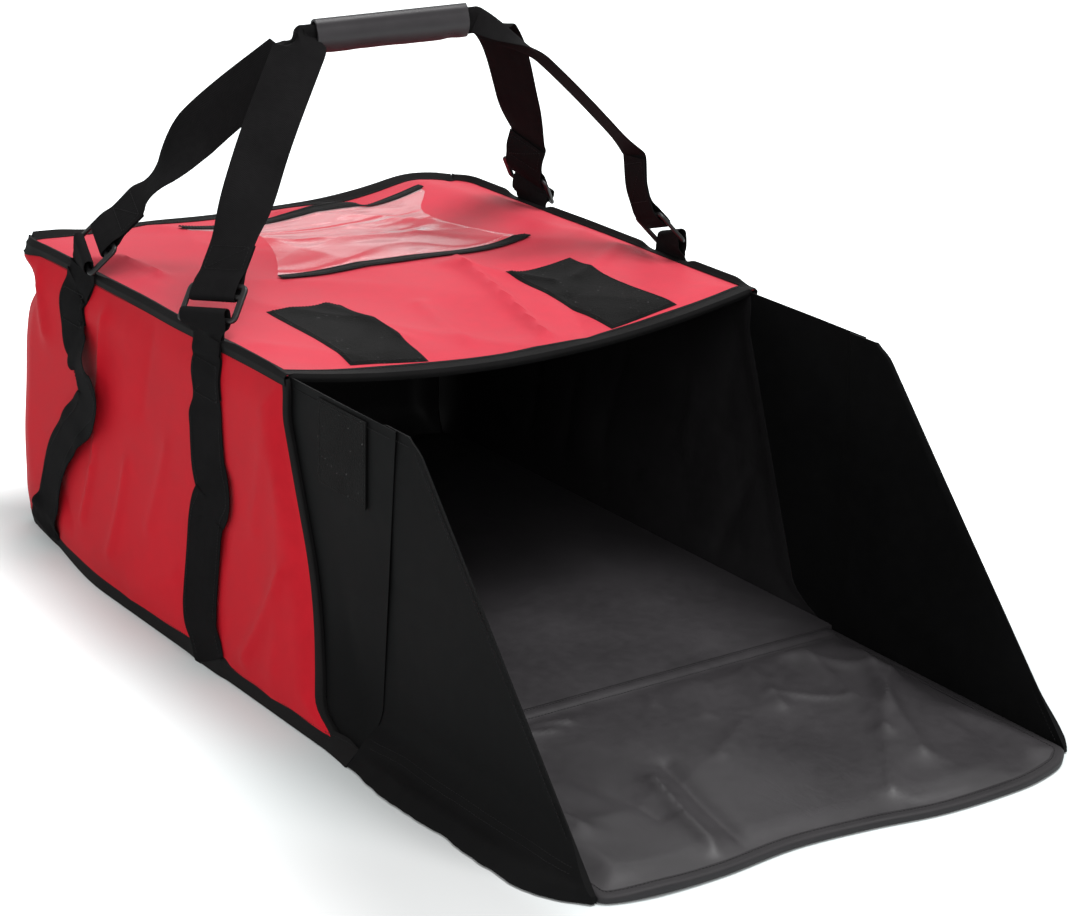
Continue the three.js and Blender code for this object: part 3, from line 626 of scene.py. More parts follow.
# rear wall: a straight lean, less a bell under its top, a slow sine and a square roll at its
# foot, plus a low bell for its belly
def wallRear(z):
    pinch = bag["pinch"] * bell(z, wallEdges["pinchHeight"], 30) * smooth((300 - z) / 18)
    wave = wallEdges["wave"] * np.sin((z - 20) / 38) * smooth(z / 60) * smooth((240 - z) / 60)
    rolled = wallEdges["roll"] * np.clip(1 - z / wallEdges["rollHeight"], 0, 1) ** 2
    belly = wallEdges["belly"] * bell(z, wallEdges["bellyHeight"], wallEdges["bellyReach"])
    return bag["rearY"] - bag["rearLean"] * z / bag["height"] - pinch - wave - rolled + belly


# plan shape of the rear corners: the square corner's offsets scaled onto a quarter circle;
# the left corner stands out as an ear under the top, with a hollow below it
def softCorner(points):
    x, y, z = points[..., 0], points[..., 1], points[..., 2]
    radius = np.where(x < 0, bag["leftCorner"], bag["rightCorner"])
    d = np.maximum(0, np.abs(x) - bag["halfWidth"] + radius)
    e = np.maximum(0, y - wallRear(z) + radius)
    share = np.maximum(d, e) / np.maximum(np.hypot(d, e), 1e-6)
    share = np.where(np.maximum(d, e) > 0, share, 1)
    inside = np.maximum(0, bag["halfWidth"] + x) + np.maximum(0, wallRear(z) - y)
    ear = bag["ear"] * bell(z, 287, 9) - 5 * bell(z, 261, 15)
    ear = ear * 0.8 * np.exp(-inside / 24) * (x < 0)
    return stack(np.sign(x) * (np.abs(x) - d + d * share) - ear, y - e + e * share + ear, z)


# height of the top's rear edge over level: a long dip and a hump near the right corner
def rearEdge(x):
    inside = smooth((bag["halfWidth"] - np.abs(x)) / 30)
    hump = 7 * bell(x, 190, 42) + 2 * bell(x, -120, 50)
    return hump * inside - bag["rearDip"] * (1 - np.minimum(1, np.abs(x) / innerHalf) ** 2)


# the outer cloth spreads by a square at its foot: most along the wings, nil at the rear
# corner and at the wings' tips
def spread(y, z):
    tip = 1 - np.exp(-np.maximum(0, y - splay["tipY"]) / 40)
    amount = mix(splay["wall"], splay["wing"], smooth((-300 - y) / 120))
    reach = mix(splay["wallReach"], splay["wingReach"], smooth((-265 - y) / 70))
    return amount * smooth((340 - y) / 230) * tip * np.clip(1 - z / reach, 0, 1) ** 2


# moves points on a side outwards with the spreading foot
def splayed(points):
    outwards = np.sign(points[..., 0]) * spread(points[..., 1], points[..., 2])
    return softCorner(points) + stack(outwards, 0, 0)


wallFolds = {"push": 3, "broad": 5.5, "crease": 3.4, "edge": 36, "lines": [
    (132, 276, 153, 169, 5, 9), (153, 169, 175, 57, 4.2, 8), (92, 136, 108, 44, 3.4, 9),
    (-206, 124, -160, 30, 5.5, 11), (-106, 180, -97, 113, -2.6, 14), (278, 285, 262, 225, 5, 12),
    (40, 290, 60, 200, -2.5, 16), (-20, 60, 60, 20, 3, 12), (200, 40, 250, 90, -2.6, 16),
    (10, 180, 40, 90, 2.6, 12), (-170, 230, -150, 150, 2.4, 14)]}


# outward push of a side: broad swells plus slanting creases, fading to nought at the seams
def sideSwell(side, y, z):
    nearest = np.minimum.reduce([y - wallFront(z), wallRear(z) - y, z * 0.9,
                                 (bag["height"] - z) * 0.9])
    at = stack(y + 0.3 * z, z * 0.7, side * 300)
    upright = stack(y - 0.12 * z, z * 0.22, side * 300)
    swell = (wallFolds["push"] + wallFolds["broad"] * noise(at, 115, 3)
             + wallFolds["crease"] * creases(upright, 85, 11)
             + lineFolds(y, z, wallFolds["lines"]))
    return smooth(nearest / wallFolds["edge"]) * np.maximum(0, swell)


# outward push of the rear wall: one broad noise plus creases, fading to nought at its seams
def rearSwell(x, z):
    nearest = np.minimum.reduce([innerHalf - np.abs(x), z * 0.9, (bag["height"] - z) * 0.9])
    at = stack(x, z, 900)
    swell = wallFolds["push"] + wallFolds["broad"] * noise(at, 130, 5)
    return smooth(nearest / wallFolds["edge"]) * (swell + 2 * creases(at, 90, 8))


topFolds = {"broad": 8, "crease": 5.5, "edge": 32, "lines": [
    (76, 44, 39, -165, 8, 11), (292, 128, 304, 27, 2, 16), (-221, 191, -215, 119, 6, 11),
    (-112, -20, -98, -127, 4.5, 13), (60, 40, 120, -60, 4, 11), (230, -20, 150, -60, 3.5, 12),
    (190, 300, 225, 40, 6, 34), (103, 340, 111, 285, -5, 20), (15, 288, 96, 273, 4.5, 10),
    (110, -100, 70, -190, -4, 15), (-20, -40, -40, -150, 4, 12)]}


# top panel: a hanging front edge, a slight dip at the rear edge, then swells and long creases
def topFace(x, y):
    x, y = np.broadcast_arrays(np.asarray(x, float), np.asarray(y, float))
    across = 1 - np.minimum(1, np.abs(x) / innerHalf) ** 2
    along = 1 - np.clip((y - topFront) / (topRear - topFront), 0, 1)
    nearest = np.minimum.reduce([bag["halfWidth"] - np.abs(x), topRear - y,
                                 (y - topFront) * 0.7 + 4])
    at = stack(x, y, 40)
    slant = stack((x + 0.9 * y) * 0.8, (y - 0.9 * x) * 0.3, 40)
    folds = (topFolds["broad"] * (noise(at, 120, 21) - 0.35)
             + topFolds["crease"] * (creases(slant, 80, 17) - 0.3)
             + lineFolds(x, y, topFolds["lines"]))
    return (bag["height"] - bag["topSag"] * across * along**2
            + rearEdge(x) * (1 - along) ** 4
            + smooth(nearest / topFolds["edge"]) * folds)


# near and far depth, look and slot of each layer of a wall, and how fine its grid is
layers = {
    "cover": (0, bag["cloth"], "red", "red_cloth"),
    "foam": (bag["cloth"] + 0.7, bag["cloth"] + bag["foam"], "foam", "foam"),
    # the walls' liner takes the darker lining with painted shade
    "liner": (wallDepth - bag["lining"], wallDepth, "shadedWallLining", "lining"),
}
gridStep = {"cover": 5, "foam": 6, "liner": 6}


# shares from nought to one, about one step apart along the length
def steps(length, step):
    return np.linspace(0, 1, max(2, int(length / step) + 1))


# walls and top: the layers of each panel, its surface set back by their depth
def makeWalls():
    foot = bag["cloth"] + bag["gap"]

    def sideSurface(side):
        def surface(u, v, depth):
            z = mix(foot, wallTop, v)
            y = mix(wallFront(z), wallRear(z), u)
            out = sideSwell(side, y, z) + (spread(y, z) if depth <= bag["cloth"] else 0)
            return softCorner(stack(side * (bag["halfWidth"] + out - depth), y, z))
        return surface

    def rearSurface(u, v, depth):
        x = mix(-innerHalf, innerHalf, u)
        z = mix(foot, wallTop + rearEdge(x), v)
        return softCorner(stack(x, wallRear(z) + rearSwell(x, z) - depth, z))

    def topSurface(u, v, depth):
        x = mix(-bag["halfWidth"], bag["halfWidth"], u)
        y = mix(topFront, topRear, v)
        return softCorner(stack(x, y, topFace(x, y) - depth))

    for name, (near, far, look, slotName) in layers.items():
        inset = 8 if name == "foam" else 0

        def across(length):
            count = max(2, int(length / gridStep[name]) + 1)
            return np.linspace(inset / length, 1 - inset / length, count)

        def panel(node, surface, width, length, colour=look):
            return dressSheet(node, surface, near, far, across(width), across(length),
                              (width, length), colour, "bag", slotName)

        for side, label in sides:
            piece = panel(f"{label}_side_{name}", sideSurface(side), 600, 300)
        piece = panel(f"rear_{name}", rearSurface, 510, 300)
        # the top's cover takes the paler red with painted sheen
        piece = panel(f"top_{name}", topSurface, 520, 520, "topRedPaintedSheen" if name == "cover" else look)


makeWalls()
print("walls made")


# base and front flap

floor = {"broad": 2.5, "crease": 3, "flapBroad": 5, "flapCrease": 2.2, "welt": 1.0, "lines": [
    (-69, -505, -105, -650, -5, 9), (-98, -525, -132, -640, 6.5, 10),
    (213, -475, 127, -552, 6.5, 12), (127, -552, 60, -625, 5, 10),
    (232, -417, 126, -590, 10, 16), (262, -470, 190, -640, -9, 28), (-123, -375, -90, -392, 4, 7),
    (-140, -388, -112, -400, 3.2, 6), (97, -444, 150, -487, 3, 8),
    (224, -544, 246, -650, 5.5, 13), (-150, -425, -129, -570, -4.6, 15),
    (150, -370, 219, -469, 5, 12), (-215, -400, -200, -560, 5.5, 15), (10, -368, -4, -405, 3, 6),
    (180, -380, 150, -520, 5, 12), (120, -372, 90, -470, 4, 11), (60, -370, 20, -450, 3, 10),
    (40, -480, -20, -520, 3.5, 14), (70, -640, 180, -650, 2.4, 7)]}


# base lining: low swells and creases that fade at its edges
def baseSwell(x, y):
    nearest = np.minimum.reduce([innerHalf - np.abs(x), 330 - y, y + 345])
    at = stack(x, y, 700)
    folds = floor["broad"] * noise(at, 110, 4) + floor["crease"] * creases(at, 95, 6)
    return smooth(nearest / 50) * folds


# flap lining: a stitched welt near the fold, swells, and folds that fan in from the corners
def flapSwell(x, y):
    ahead = bag["foldY"] - y
    nearest = np.minimum.reduce([250 - np.abs(x), 309 - ahead, ahead - 12])
    at = stack(x, y, 500)
    folds = np.maximum(0, 2 + floor["flapBroad"] * noise(at, 130, 31)
                       + floor["flapCrease"] * creases(at, 85, 9)
                       + lineFolds(x, y, floor["lines"]))
    ridge = 2.6 * smooth((24 - ahead) / 18) * (0.75 + 0.5 * noise(at, 60, 12))
    welt = floor["welt"] * bell(ahead, 9, 3.2)
    return smooth(nearest / 34) * folds + (welt + ridge) * smooth((250 - np.abs(x)) / 6)


# base: flat layers between the walls, the foam set back at the front, where the lining rolls
# down over the fold line by a square
def makeBase():
    top, wrap = 8.9, 4.6
    rear = wallRear(7) - wallDepth - bag["gap"]

    def flatSurface(half, back):
        def surface(u, v, z):
            y = mix(bag["foldY"] + (3 if 4.2 < z < 8 else 0), back, v)
            wide = half + (spread(y, 0) if half == bag["halfWidth"] else 0)
            return softCorner(stack(mix(-1, 1, u) * wide, y, z))
        return surface

    def rolledSurface(half, back):
        def surface(u, v, z):
            along = v * (back - bag["foldY"]) - wrap
            rounded = np.clip(along / 3, 0, 1)
            y = bag["foldY"] + np.maximum(along, 0) + (top - z) * (1 - rounded)
            drop = np.maximum(-along, 0) + 1.2 * (1 - rounded) ** 2
            x = mix(-half, half, u)
            return softCorner(stack(x, y, mix(top, z, rounded) - drop + baseSwell(x, y)))
        return surface

    rows = (
        ("base_cover", flatSurface, bag["halfWidth"], wallRear(0), 0, 0.8, "black", "black_cloth", 20),
        ("base_board", flatSurface, innerHalf, wallRear(4) - 1.5, 1.1, 4.1, "board", "board", 20),
        ("base_foam", flatSurface, innerHalf - 8, rear - 8, 4.4, 7.9, "foam", "foam", 20),
        ("base_liner", rolledSurface, innerHalf, rear, 8.3, top, "lining", "lining", 6))
    for name, shape, half, back, low, high, look, slotName, step in rows:
        piece = dressSheet(name, shape(half, back), low, high, steps(2 * half, step),
                           steps(690, step), (2 * half, 690), look, "bag", slotName)
        if name == "base_board":
            continue


flap = {"half": 251.9, "length": 314, "hem": 1.1, "hemReach": 11, "lift": 10, "corner": 7}


# the front edge rises off the ground: noise to a power, times smooth steps from its edges
def flapLift(x, y):
    ahead = bag["foldY"] - y
    wave = noise(stack(x, 0, 33), 135, 5) ** 1.5
    return flap["lift"] * wave * smooth((ahead - 230) / 80) * smooth((250 - np.abs(x)) / 60)


# the flap's cut edge runs out in two shallow curves, the fuller one right of the middle
bowCurve = spline(stack([-253, -235, -203, -140, -60, 12, 82, 150, 190, 228, 246, 253],
                        [0, 8, 15, 17, 11, 18, 30, 32, 29, 18, 5, 0]), 200)


# how far the flap runs forward: the curve above, growing by a smooth step along the flap
def flapBow(x, ahead):
    return np.interp(x, bowCurve[:, 0], bowCurve[:, 1]) * smooth((ahead - 130) / 175)


# flap: its layers run from the fold to the bowed edge, with its two outer corners rounded
def makeFlap():
    half, front, rear = flap["half"] - flap["hem"], flap["length"] - flap["hem"], 0.3

    def surfaceWith(lift):
        def surface(u, v, z):
            inset = 3 if 2 < z < 5 else 0
            ahead = mix(rear + inset, front - inset, v)
            near = np.clip(1 - (front - inset - ahead) / flap["corner"], 0, 1)
            corner = flap["corner"] * (1 - np.sqrt(1 - near**2))
            x = mix(-half + inset, half - inset, u) * (1 - corner / half)
            y = bag["foldY"] - ahead
            return stack(x, y - flapBow(x, ahead), z + lift(x, y))
        return surface

    flat = surfaceWith(lambda x, y: 0.35 * flapLift(x, y))
    raised = surfaceWith(lambda x, y: flapSwell(x, y) + flapLift(x, y))

    def foamSurface(u, v, z):
        return mix(flat(u, v, z), raised(u, v, z), smooth((z - 2.2) / 2.6))

    rows = (("flap_cover", flat, 1.1, 1.9, "black", "black_cloth", 12),
            ("flap_foam", foamSurface, 2.2, 4.4, "foam", "foam", 4),
            ("flap_liner", raised, 5.1, 5.7, "lining", "lining", 4))
    for name, surface, low, high, look, slotName, step in rows:
        piece = dressSheet(name, surface, low, high, steps(502, step), steps(313, step),
                           (502, 313), look, "flap", slotName)
    x = np.linspace(-246, 246, 200)
    for offset in (2.5, 15.5):
        y = np.full_like(x, bag["foldY"] - offset)
        stitch("flap", stack(x, y, 5.75 + flapSwell(x, y) + flapLift(x, y)), upward)


# hem tape: a U folded over the flap's edges, wavering a little as it goes round
def makeFlapHem():
    rounded, reach = flap["corner"], flap["hemReach"]
    half, front = flap["half"], bag["foldY"] - flap["length"]
    turn = np.linspace(0, math.pi / 2, 9)
    along, across = rounded * np.sin(turn), rounded * np.cos(turn)
    left = stack(-half + rounded - across, front + rounded - along)
    right = stack(half - rounded + along, front + rounded - across)
    rear = bag["foldY"] - 0.3
    run = np.concatenate([[[-half, rear]], left, right, [[half, rear]]])
    path = evenly(np.concatenate([run, np.zeros((len(run), 1))], 1), 4)
    waver = flapLift(path[:, 0], path[:, 1])
    path[:, 1] -= flapBow(path[:, 0], bag["foldY"] - path[:, 1])
    along = heading(path)
    inward = stack(-along[:, 1], along[:, 0], 0)
    profile = ribbonProfile([[reach, 0.5], [2, 0.4], [0.5, 1.6], [0.5, 5.2], [2, 6.4],
                             [reach, 6.5]], 0.9)
    width = 1 + 0.1 * (noise(path, 30, 2) - 0.5)
    sections = (path[:, None, :]
                + (profile[None, :, 0] * width[:, None])[..., None] * inward[:, None, :]
                + stack(0, 0, profile[None, :, 1] + waver[:, None]
                        * np.where(profile[None, :, 1] > 2, 1, 0.35)))
    dressBand("flap_hem", sections, "hem", "flap", kind="tape")
    stitch("flap", path + inward * 8.5 + stack(0, 0, 6.95 + waver), upward)


makeBase()
makeFlapHem()
makeFlap()
print("base and flap made")


# gussets, wings and their patches

wingShape = {"outer": 253.9, "inner": 252.4, "height": 303, "crest": 48, "tip": 312,
             "ruffle": 1.6, "out": 1.4, "seam": 15, "roll": 5.5, "step": 7.2}
gussetNear, gussetFar = linerFace + 0.3, linerFace + 1.8


# crease between gusset and wing: upright up to the fold line, then leaning four degrees
def creaseY(z):
    return bag["foldY"] - math.tan(math.radians(4)) * np.maximum(0, z - foldZ)


# front edge of a wing: level at the top, a rounded corner, then a straight slant to the tip
def wingFront(z):
    slant = mix(wingShape["tip"], wingShape["crest"], np.clip((z - 6) / 297, 0, 1))
    corner = 9 * smooth((z - 288) / 15) ** 2
    return bag["foldY"] - slant + corner


# height of a wing's bottom seam, wavering by noise
def wingSeam(side, y):
    return wingShape["seam"] + 3 * (noise(stack(y, 0, side * 30), 45, 2) - 0.5)


# inward push of a wing: slow waves, and gathers along the bottom seam that die out upwards
def wingSwell(side, y, z):
    at = stack(y, z, side * 200)
    gathers = (noise(stack(y + 0.25 * z, z * 0.35, side * 90), 15, 44)
               + 0.6 * noise(stack(y, z * 0.5, side * 90), 7, 45) - 0.62) * bell(z, 0, 24)
    slow = smooth(z / 60) * (1.8 * noise(at, 90, 41) + 1.1 * creases(at, 120, 19))
    return slow + np.maximum(wingShape["ruffle"] * gathers, -wingShape["out"])


# outward push of a wing: its foot spreads, with a lumpy roll under the seam and a step that
# dies out away from the fold line
def wingFoot(side, y, z):
    gathers = noise(stack(y + 0.5 * z, z * 0.7, side * 60), 75, 24) - 0.5
    ahead = bag["foldY"] - y
    along = smooth(ahead / 45) * smooth((wingShape["tip"] - ahead) / 30)
    step = wingShape["step"] * np.exp(-ahead / 55) * smooth((34 - z) / 14)
    lumps = 0.75 + 0.5 * noise(stack(y, z * 0.5, side * 90), 22, 45)
    roll = wingShape["roll"] * smooth((wingSeam(side, y) - z) / 3.2) * along * lumps
    return spread(y, z) * (1 + 0.25 * gathers) + roll + step


# slow wave shared by a gusset and its patch
def gussetWave(side, y, z):
    return 0.6 * (noise(stack(y, z, side * 77), 60, 6) - 0.5)


# gussets thin out inwards at the crease; wings stand on the fold line and swell inwards
def makeWings():
    for side, label in sides:
        def gussetSurface(u, v, x):
            z = mix(1.1, wingShape["height"], v)
            y = mix(creaseY(z), wallFront(z) - 0.3, u)
            inward = np.exp(-(u * 26 / 9) ** 2) * smooth((z - 4) / 10)
            thin = gussetNear - 0.45 + (x - gussetNear) * 0.45
            push = gussetWave(side, y, z) * (1 - inward) + (spread(y, z) if x > gussetNear else 0)
            return stack(side * (mix(x, thin, inward) + push), y, z)

        def wingSurface(u, v, x):
            z = mix(1.1, wingShape["height"], mix(v, v * v, 0.6 * (1 - v)))
            y = mix(bag["foldY"] - 0.5 * smooth((10 - z) / 4), wingFront(z), u)
            fade = smooth(u * 12) * smooth((1 - u) * 10 + 0.3)
            foot = wingFoot(side, y, z) if x > wingShape["inner"] else 0
            return stack(side * (x + foot - wingSwell(side, y, z) * fade), y, z)

        piece = dressSheet(f"{label}_gusset", gussetSurface, gussetNear, gussetFar,
                           np.linspace(0, 1, 40) ** 1.6, steps(302, 5), (100, 302), "black",
                           "bag", "black_cloth")
        piece = dressSheet(f"{label}_wing", wingSurface, wingShape["inner"], wingShape["outer"],
                           steps(312, 3.5), steps(302, 3.5), (312, 302), "black", "wings",
                           "black_cloth")
        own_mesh(piece)
        stitchWing(side, label + "Wing")


# two rows over a wing's foot, one down each face of its front edge, one along each top edge
def stitchWing(side, body):
    outer, hem = wingShape["outer"] + 0.05, wingShape["height"] - 8
    y = np.linspace(bag["foldY"] - 3, bag["foldY"] - wingShape["tip"] + 24, 170)
    for low in (3.5, 8.5):
        z = wingSeam(side, y) + low
        line = side * (wingShape["outer"] - wingSwell(side, y, z) + wingFoot(side, y, z))
        stitch(body, stack(line, y, z), (side, 0, 0))
    z = np.linspace(8, 292, 120)
    for x, up in ((outer, side), (wingShape["inner"] - 0.05, -side)):
        stitch(body, stack(side * x, wingFront(z) + 9, z), (up, 0, 0))
    y = np.linspace(bag["foldY"] - 40, bag["foldY"] - 4, 20)
    stitch(body, stack(side * outer, y, hem), (side, 0, 0))
    y = np.linspace(bag["foldY"] - 14, wallFront(295) - 4, 60)
    stitch("bag", stack(side * (gussetFar + 0.05), y, hem), (side, 0, 0))


patch = {"thick": 1.2, "width": 80, "length": 165, "x": 138, "back": 100, "lift": 0.5,
         "gussetSize": 78, "gussetBack": 22, "gussetDrop": 4}


# stitches round a patch, set in from its edges by a share of its two sizes
def stitchRim(surface, inset, depth, count, up):
    a, b = inset
    corners = [(a, b), (1 - a, b), (1 - a, 1 - b), (a, 1 - b), (a, b)]
    t = np.linspace(0, 1, count)
    for (u1, v1), (u2, v2) in zip(corners[:-1], corners[1:]):
        stitch("bag", surface(mix(u1, u2, t), mix(v1, v2, t), depth), up)


# patches: flat rectangles laid over the top, turned three degrees, and over the gussets
def makePatches():
    for side, label in sides:
        turn = math.radians(3 * side)
        top = wingShape["height"] - patch["gussetDrop"]
        front = bag["foldY"] + patch["gussetBack"]

        def topSurface(u, v, lift):
            a = (u - 0.5) * patch["width"]
            b = (v - 0.5) * patch["length"]
            x = side * patch["x"] + a * math.cos(turn) - b * math.sin(turn)
            y = topFront + patch["back"] + a * math.sin(turn) + b * math.cos(turn)
            rounded = smooth(np.minimum(u, 1 - u) * 30) * smooth(np.minimum(v, 1 - v) * 60)
            return stack(x, y, topFace(x, y) + mix(0.3, lift, rounded if lift > 1 else 1))

        def gussetPatch(u, v, x):
            y = front + patch["gussetSize"] * u
            z = top - patch["gussetSize"] * v
            return stack(side * (x + gussetWave(side, y, z)), y, z)

        dressSheet(f"{label}_top_patch", topSurface, patch["lift"], patch["lift"] + patch["thick"],
                   steps(80, 2.5), steps(165, 3), (80, 165), "pile", "bag", "loop_tape", "pile")
        stitchRim(topSurface, (0.045, 0.02), 1.8, 60, upward)
        dressSheet(f"{label}_gusset_patch", gussetPatch, gussetFar + 0.3, gussetFar + 1.5,
                   steps(78, 3), steps(78, 3), (78, 78), "pile", "bag", "loop_tape", "pile")
        stitchRim(gussetPatch, (0.04, 0.04), gussetFar + 1.5, 30, (side, 0, 0))


makeWings()
makePatches()
print("wings and patches made")


# seam tapes

strap = {"width": 50, "thick": 1.4, "loopPlay": 1.8, "loopSlack": 6, "barHeight": 16, "barOut": 4,
         "double": 250, "foldRadius": 1.1, "tail": 40, "frontY": -62, "rearY": 182,
         "seam": 0.86, "threadOut": 0.78}
strapFeet = (-100, 284)
tapeNear = bag["gap"] + bag["tape"] / 2


# share of a binding's standing bead: a bell over the edge, nil below it
def bead(profile):
    return bell(profile[:, 0], -2.3, 2.7) * smooth((profile[:, 1] + 2) / 2.4)


# side's front edge: a narrow leg inside and a broad one on the panel, both wavering
def makeFrontTape(side, label, out):
    z = np.linspace(9, 302, 100)
    waver = 1.1 * (noise(stack(z, 0, side * 50), 35, 3) - 0.5)
    width = 1 + 0.12 * (noise(stack(z, 5, side * 50), 28, 4) - 0.5)
    path = stack(side * bag["halfWidth"], wallFront(z), z)
    profile = ribbonProfile([[-3.2, -tapeNear], [0, -tapeNear], [tapeNear, 0], [tapeNear, 19]],
                            bag["tape"])
    sections = offsetSections(path, profile[None, :, 0], out,
                              profile[None, :, 1] * width[:, None], backward)
    sections[..., 1] += waver[:, None] * 0.4
    dressBand(f"{label}_front_tape", splayed(sections))
    stitch("bag", splayed(path + out * (tapeNear + 0.45) + backward * 15), out)


# rear upright corner: an L round the seam, in the cover's red
def makeCornerTape(side, label, out):
    z, reach = np.linspace(17, 291, 90), bag["tapeReach"]
    path = stack(side * bag["halfWidth"], wallRear(z), z)
    profile = ribbonProfile([[tapeNear, -reach], [tapeNear, 0], [0, tapeNear], [-reach, tapeNear]],
                            bag["tape"])
    sections = offsetSections(path, profile[None, :, 0], out, profile[None, :, 1], backward)
    dressBand(f"{label}_rear_corner_tape", softCorner(sections), "red", slotName="red_cloth")


# top side edge: hangs by a wavering drop, sways out by noise, and its upper leg follows the
# top and stands up as a bead clear of the straps
def makeTopTape(side, label, out):
    y = np.linspace(topFront - 2.5, topRear + 1, 130)
    ear = bell(y, topRear - 6, 26)
    drop = 8.5 + 3.5 * (noise(stack(y, 9, side * 60), 55, 7) - 0.5) + 6 * ear
    sway = 1.8 * noise(stack(y, 4, side * 60), 70, 27) + 2.5 * ear
    path = stack(side * (bag["halfWidth"] + sway * smooth((topRear - y) / 30)), y, bag["height"])
    profile = ribbonProfile([[-7, tapeNear], [-1.5, tapeNear + 0.9], [tapeNear + 0.9, -1.5],
                             [tapeNear, -12]], bag["tape"], 5)
    rise = profile[None, :, 1]
    rise = np.where(rise < -2, rise * drop[:, None] / 12, rise)
    sections = offsetSections(path, profile[None, :, 0], out, rise, upward)
    under = topFace(np.clip(sections[..., 0], -260, 260), sections[..., 1]) - bag["height"]
    sections[..., 2] += under * smooth((sections[..., 2] - bag["height"] + 3) / 3)
    clear = smooth((y - topFront - 4) / 24)
    for at in (strap["frontY"], strap["rearY"]):
        clear = clear * (1 - np.exp(-((y - at) / 38) ** 8))
    sections[..., 2] += (2 if side < 0 else 5) * clear[:, None] * bead(profile)
    dressBand(f"{label}_top_tape", softCorner(sections))
    stitch("bag", softCorner(path + out * (tapeNear + 0.45) - upward * 8.5), out)


# side's foot: a wavering strip that passes outside the straps and follows the rear's roll
def makeBaseTape(side, label, out):
    y = np.linspace(bag["foldY"], wallRear(0) + 1, 150)
    high = 17 + 3.5 * (noise(stack(y, 2, side * 60), 60, 9) - 0.5)
    high = high * mix(0.85, 1, smooth((y - bag["foldY"]) / 30))
    over = 1.8 * sum(np.exp(-((y - foot) / 31) ** 4) for foot in strapFeet)
    path = stack(side * (bag["halfWidth"] + over), y, 0)
    profile = ribbonProfile([[tapeNear, 0.3], [tapeNear + 0.4, 7], [tapeNear, 14]], bag["tape"])
    sections = offsetSections(path, profile[None, :, 0], out,
                              profile[None, :, 1] * high[:, None] / 14, upward)
    sections[..., 1] += ((wallRear(sections[..., 2]) - wallRear(0))
                         * smooth((y[:, None] - 285) / 40))
    dressBand(f"{label}_base_tape", splayed(sections))
    stitch("bag", splayed(path + out * (tapeNear + 0.6) + upward * 13), out)


# top's front edge: a U over the three layers, following the top
def makeTopFrontTape():
    x = np.linspace(-innerHalf - 3, innerHalf + 3, 120)
    reach, under = bag["tapeReach"], -wallDepth - tapeNear
    profile = ribbonProfile([[reach, tapeNear], [0, tapeNear], [-tapeNear - 0.4, -wallDepth / 2],
                             [0, under], [reach, under]], bag["tape"])
    at = topFace(x[:, None], topFront + np.maximum(profile[None, :, 0], 0))
    sections = stack(x[:, None], topFront + profile[None, :, 0], at + profile[None, :, 1])
    dressBand("front_top_tape", sections)
    stitch("bag", stack(x, topFront + 10, topFace(x, topFront + 10) + tapeNear + 0.5), upward)


# top's rear edge: an L whose bead stands highest at both ends, by smooth steps
def makeTopRearTape():
    x = np.linspace(-256.5, 256.5, 120)
    profile = ribbonProfile([[-bag["tapeReach"], tapeNear], [-2, tapeNear], [tapeNear, -2],
                             [tapeNear + 1, -12]], bag["tape"], 6)
    at = topFace(x[:, None], topRear + np.minimum(profile[None, :, 0], 0))
    high = 2.2 + 3.5 * (smooth((-185 - x) / 45) + smooth((x - 60) / 90))
    high = high * smooth((258 - np.abs(x)) / 5)
    sections = stack(x[:, None], topRear + profile[None, :, 0],
                     at + profile[None, :, 1] + high[:, None] * bead(profile))
    dressBand("rear_top_tape", softCorner(sections))
    line = stack(x, topRear - 10, topFace(x, topRear - 10) + tapeNear + 0.5)
    stitch("bag", softCorner(line), upward)
    line = stack(x, topRear, topFace(x, topRear)) + [0, tapeNear + 1.2, -9]
    stitch("bag", softCorner(line), (0, 1, 0.1))


# rear wall's foot: a strip over the wall's swell
def makeRearBaseTape():
    x = np.linspace(-260, 260, 120)
    profile = ribbonProfile([[tapeNear, 0.3], [tapeNear + 0.2, 8], [tapeNear, 17]], bag["tape"])
    across, tall = np.broadcast_arrays(x[:, None], profile[None, :, 1])
    face = wallRear(tall) + rearSwell(across, tall)
    dressBand("rear_base_tape", softCorner(stack(across, face + profile[None, :, 0], tall)))
    face = wallRear(13.0) + rearSwell(x, np.full_like(x, 13))
    stitch("bag", softCorner(stack(x, face + tapeNear + 0.6, 13)), backward)


def makeTapes():
    for side, label in sides:
        out = np.array([side, 0, 0.0])
        for make in (makeFrontTape, makeCornerTape, makeTopTape, makeBaseTape):
            make(side, label, out)
    makeTopFrontTape()
    makeTopRearTape()
    makeRearBaseTape()


makeTapes()
print("seam tapes made")


# ticket pocket

pocket = {"left": -107, "right": 176, "front": 68.5, "depth": 204, "rise": 8, "hollowLeft": 26,
          "hollowRight": 58, "tape": 13, "crumple": 5.5}


# clear sheet: bowed up between its seams and hollow at its open ends, crumpled by sharp creases
def windowFace(u, v, lift):
    margin = pocket["tape"] / pocket["depth"]
    free = np.clip((v - margin) / (1 - 2 * margin), 0, 1)
    bow = np.sin(math.pi * free)
    skewed = np.sin(math.pi * free**0.8) ** 1.2
    x = mix(pocket["left"] + pocket["hollowLeft"] * skewed,
            pocket["right"] - pocket["hollowRight"] * skewed, u)
    y = pocket["front"] + pocket["depth"] * v
    at = stack(x * 0.35, y + 0.15 * x, 30)
    crumple = pocket["crumple"] * (creases(at, 60, 5) + 0.22 * creases(at, 27, 15) - 0.5)
    ends = 3 * bow * (smooth(1 - u * 6) + smooth(1 - (1 - u) * 6))
    return stack(x, y, topFace(x, y) + lift + bow * (pocket["rise"] + crumple) + ends)


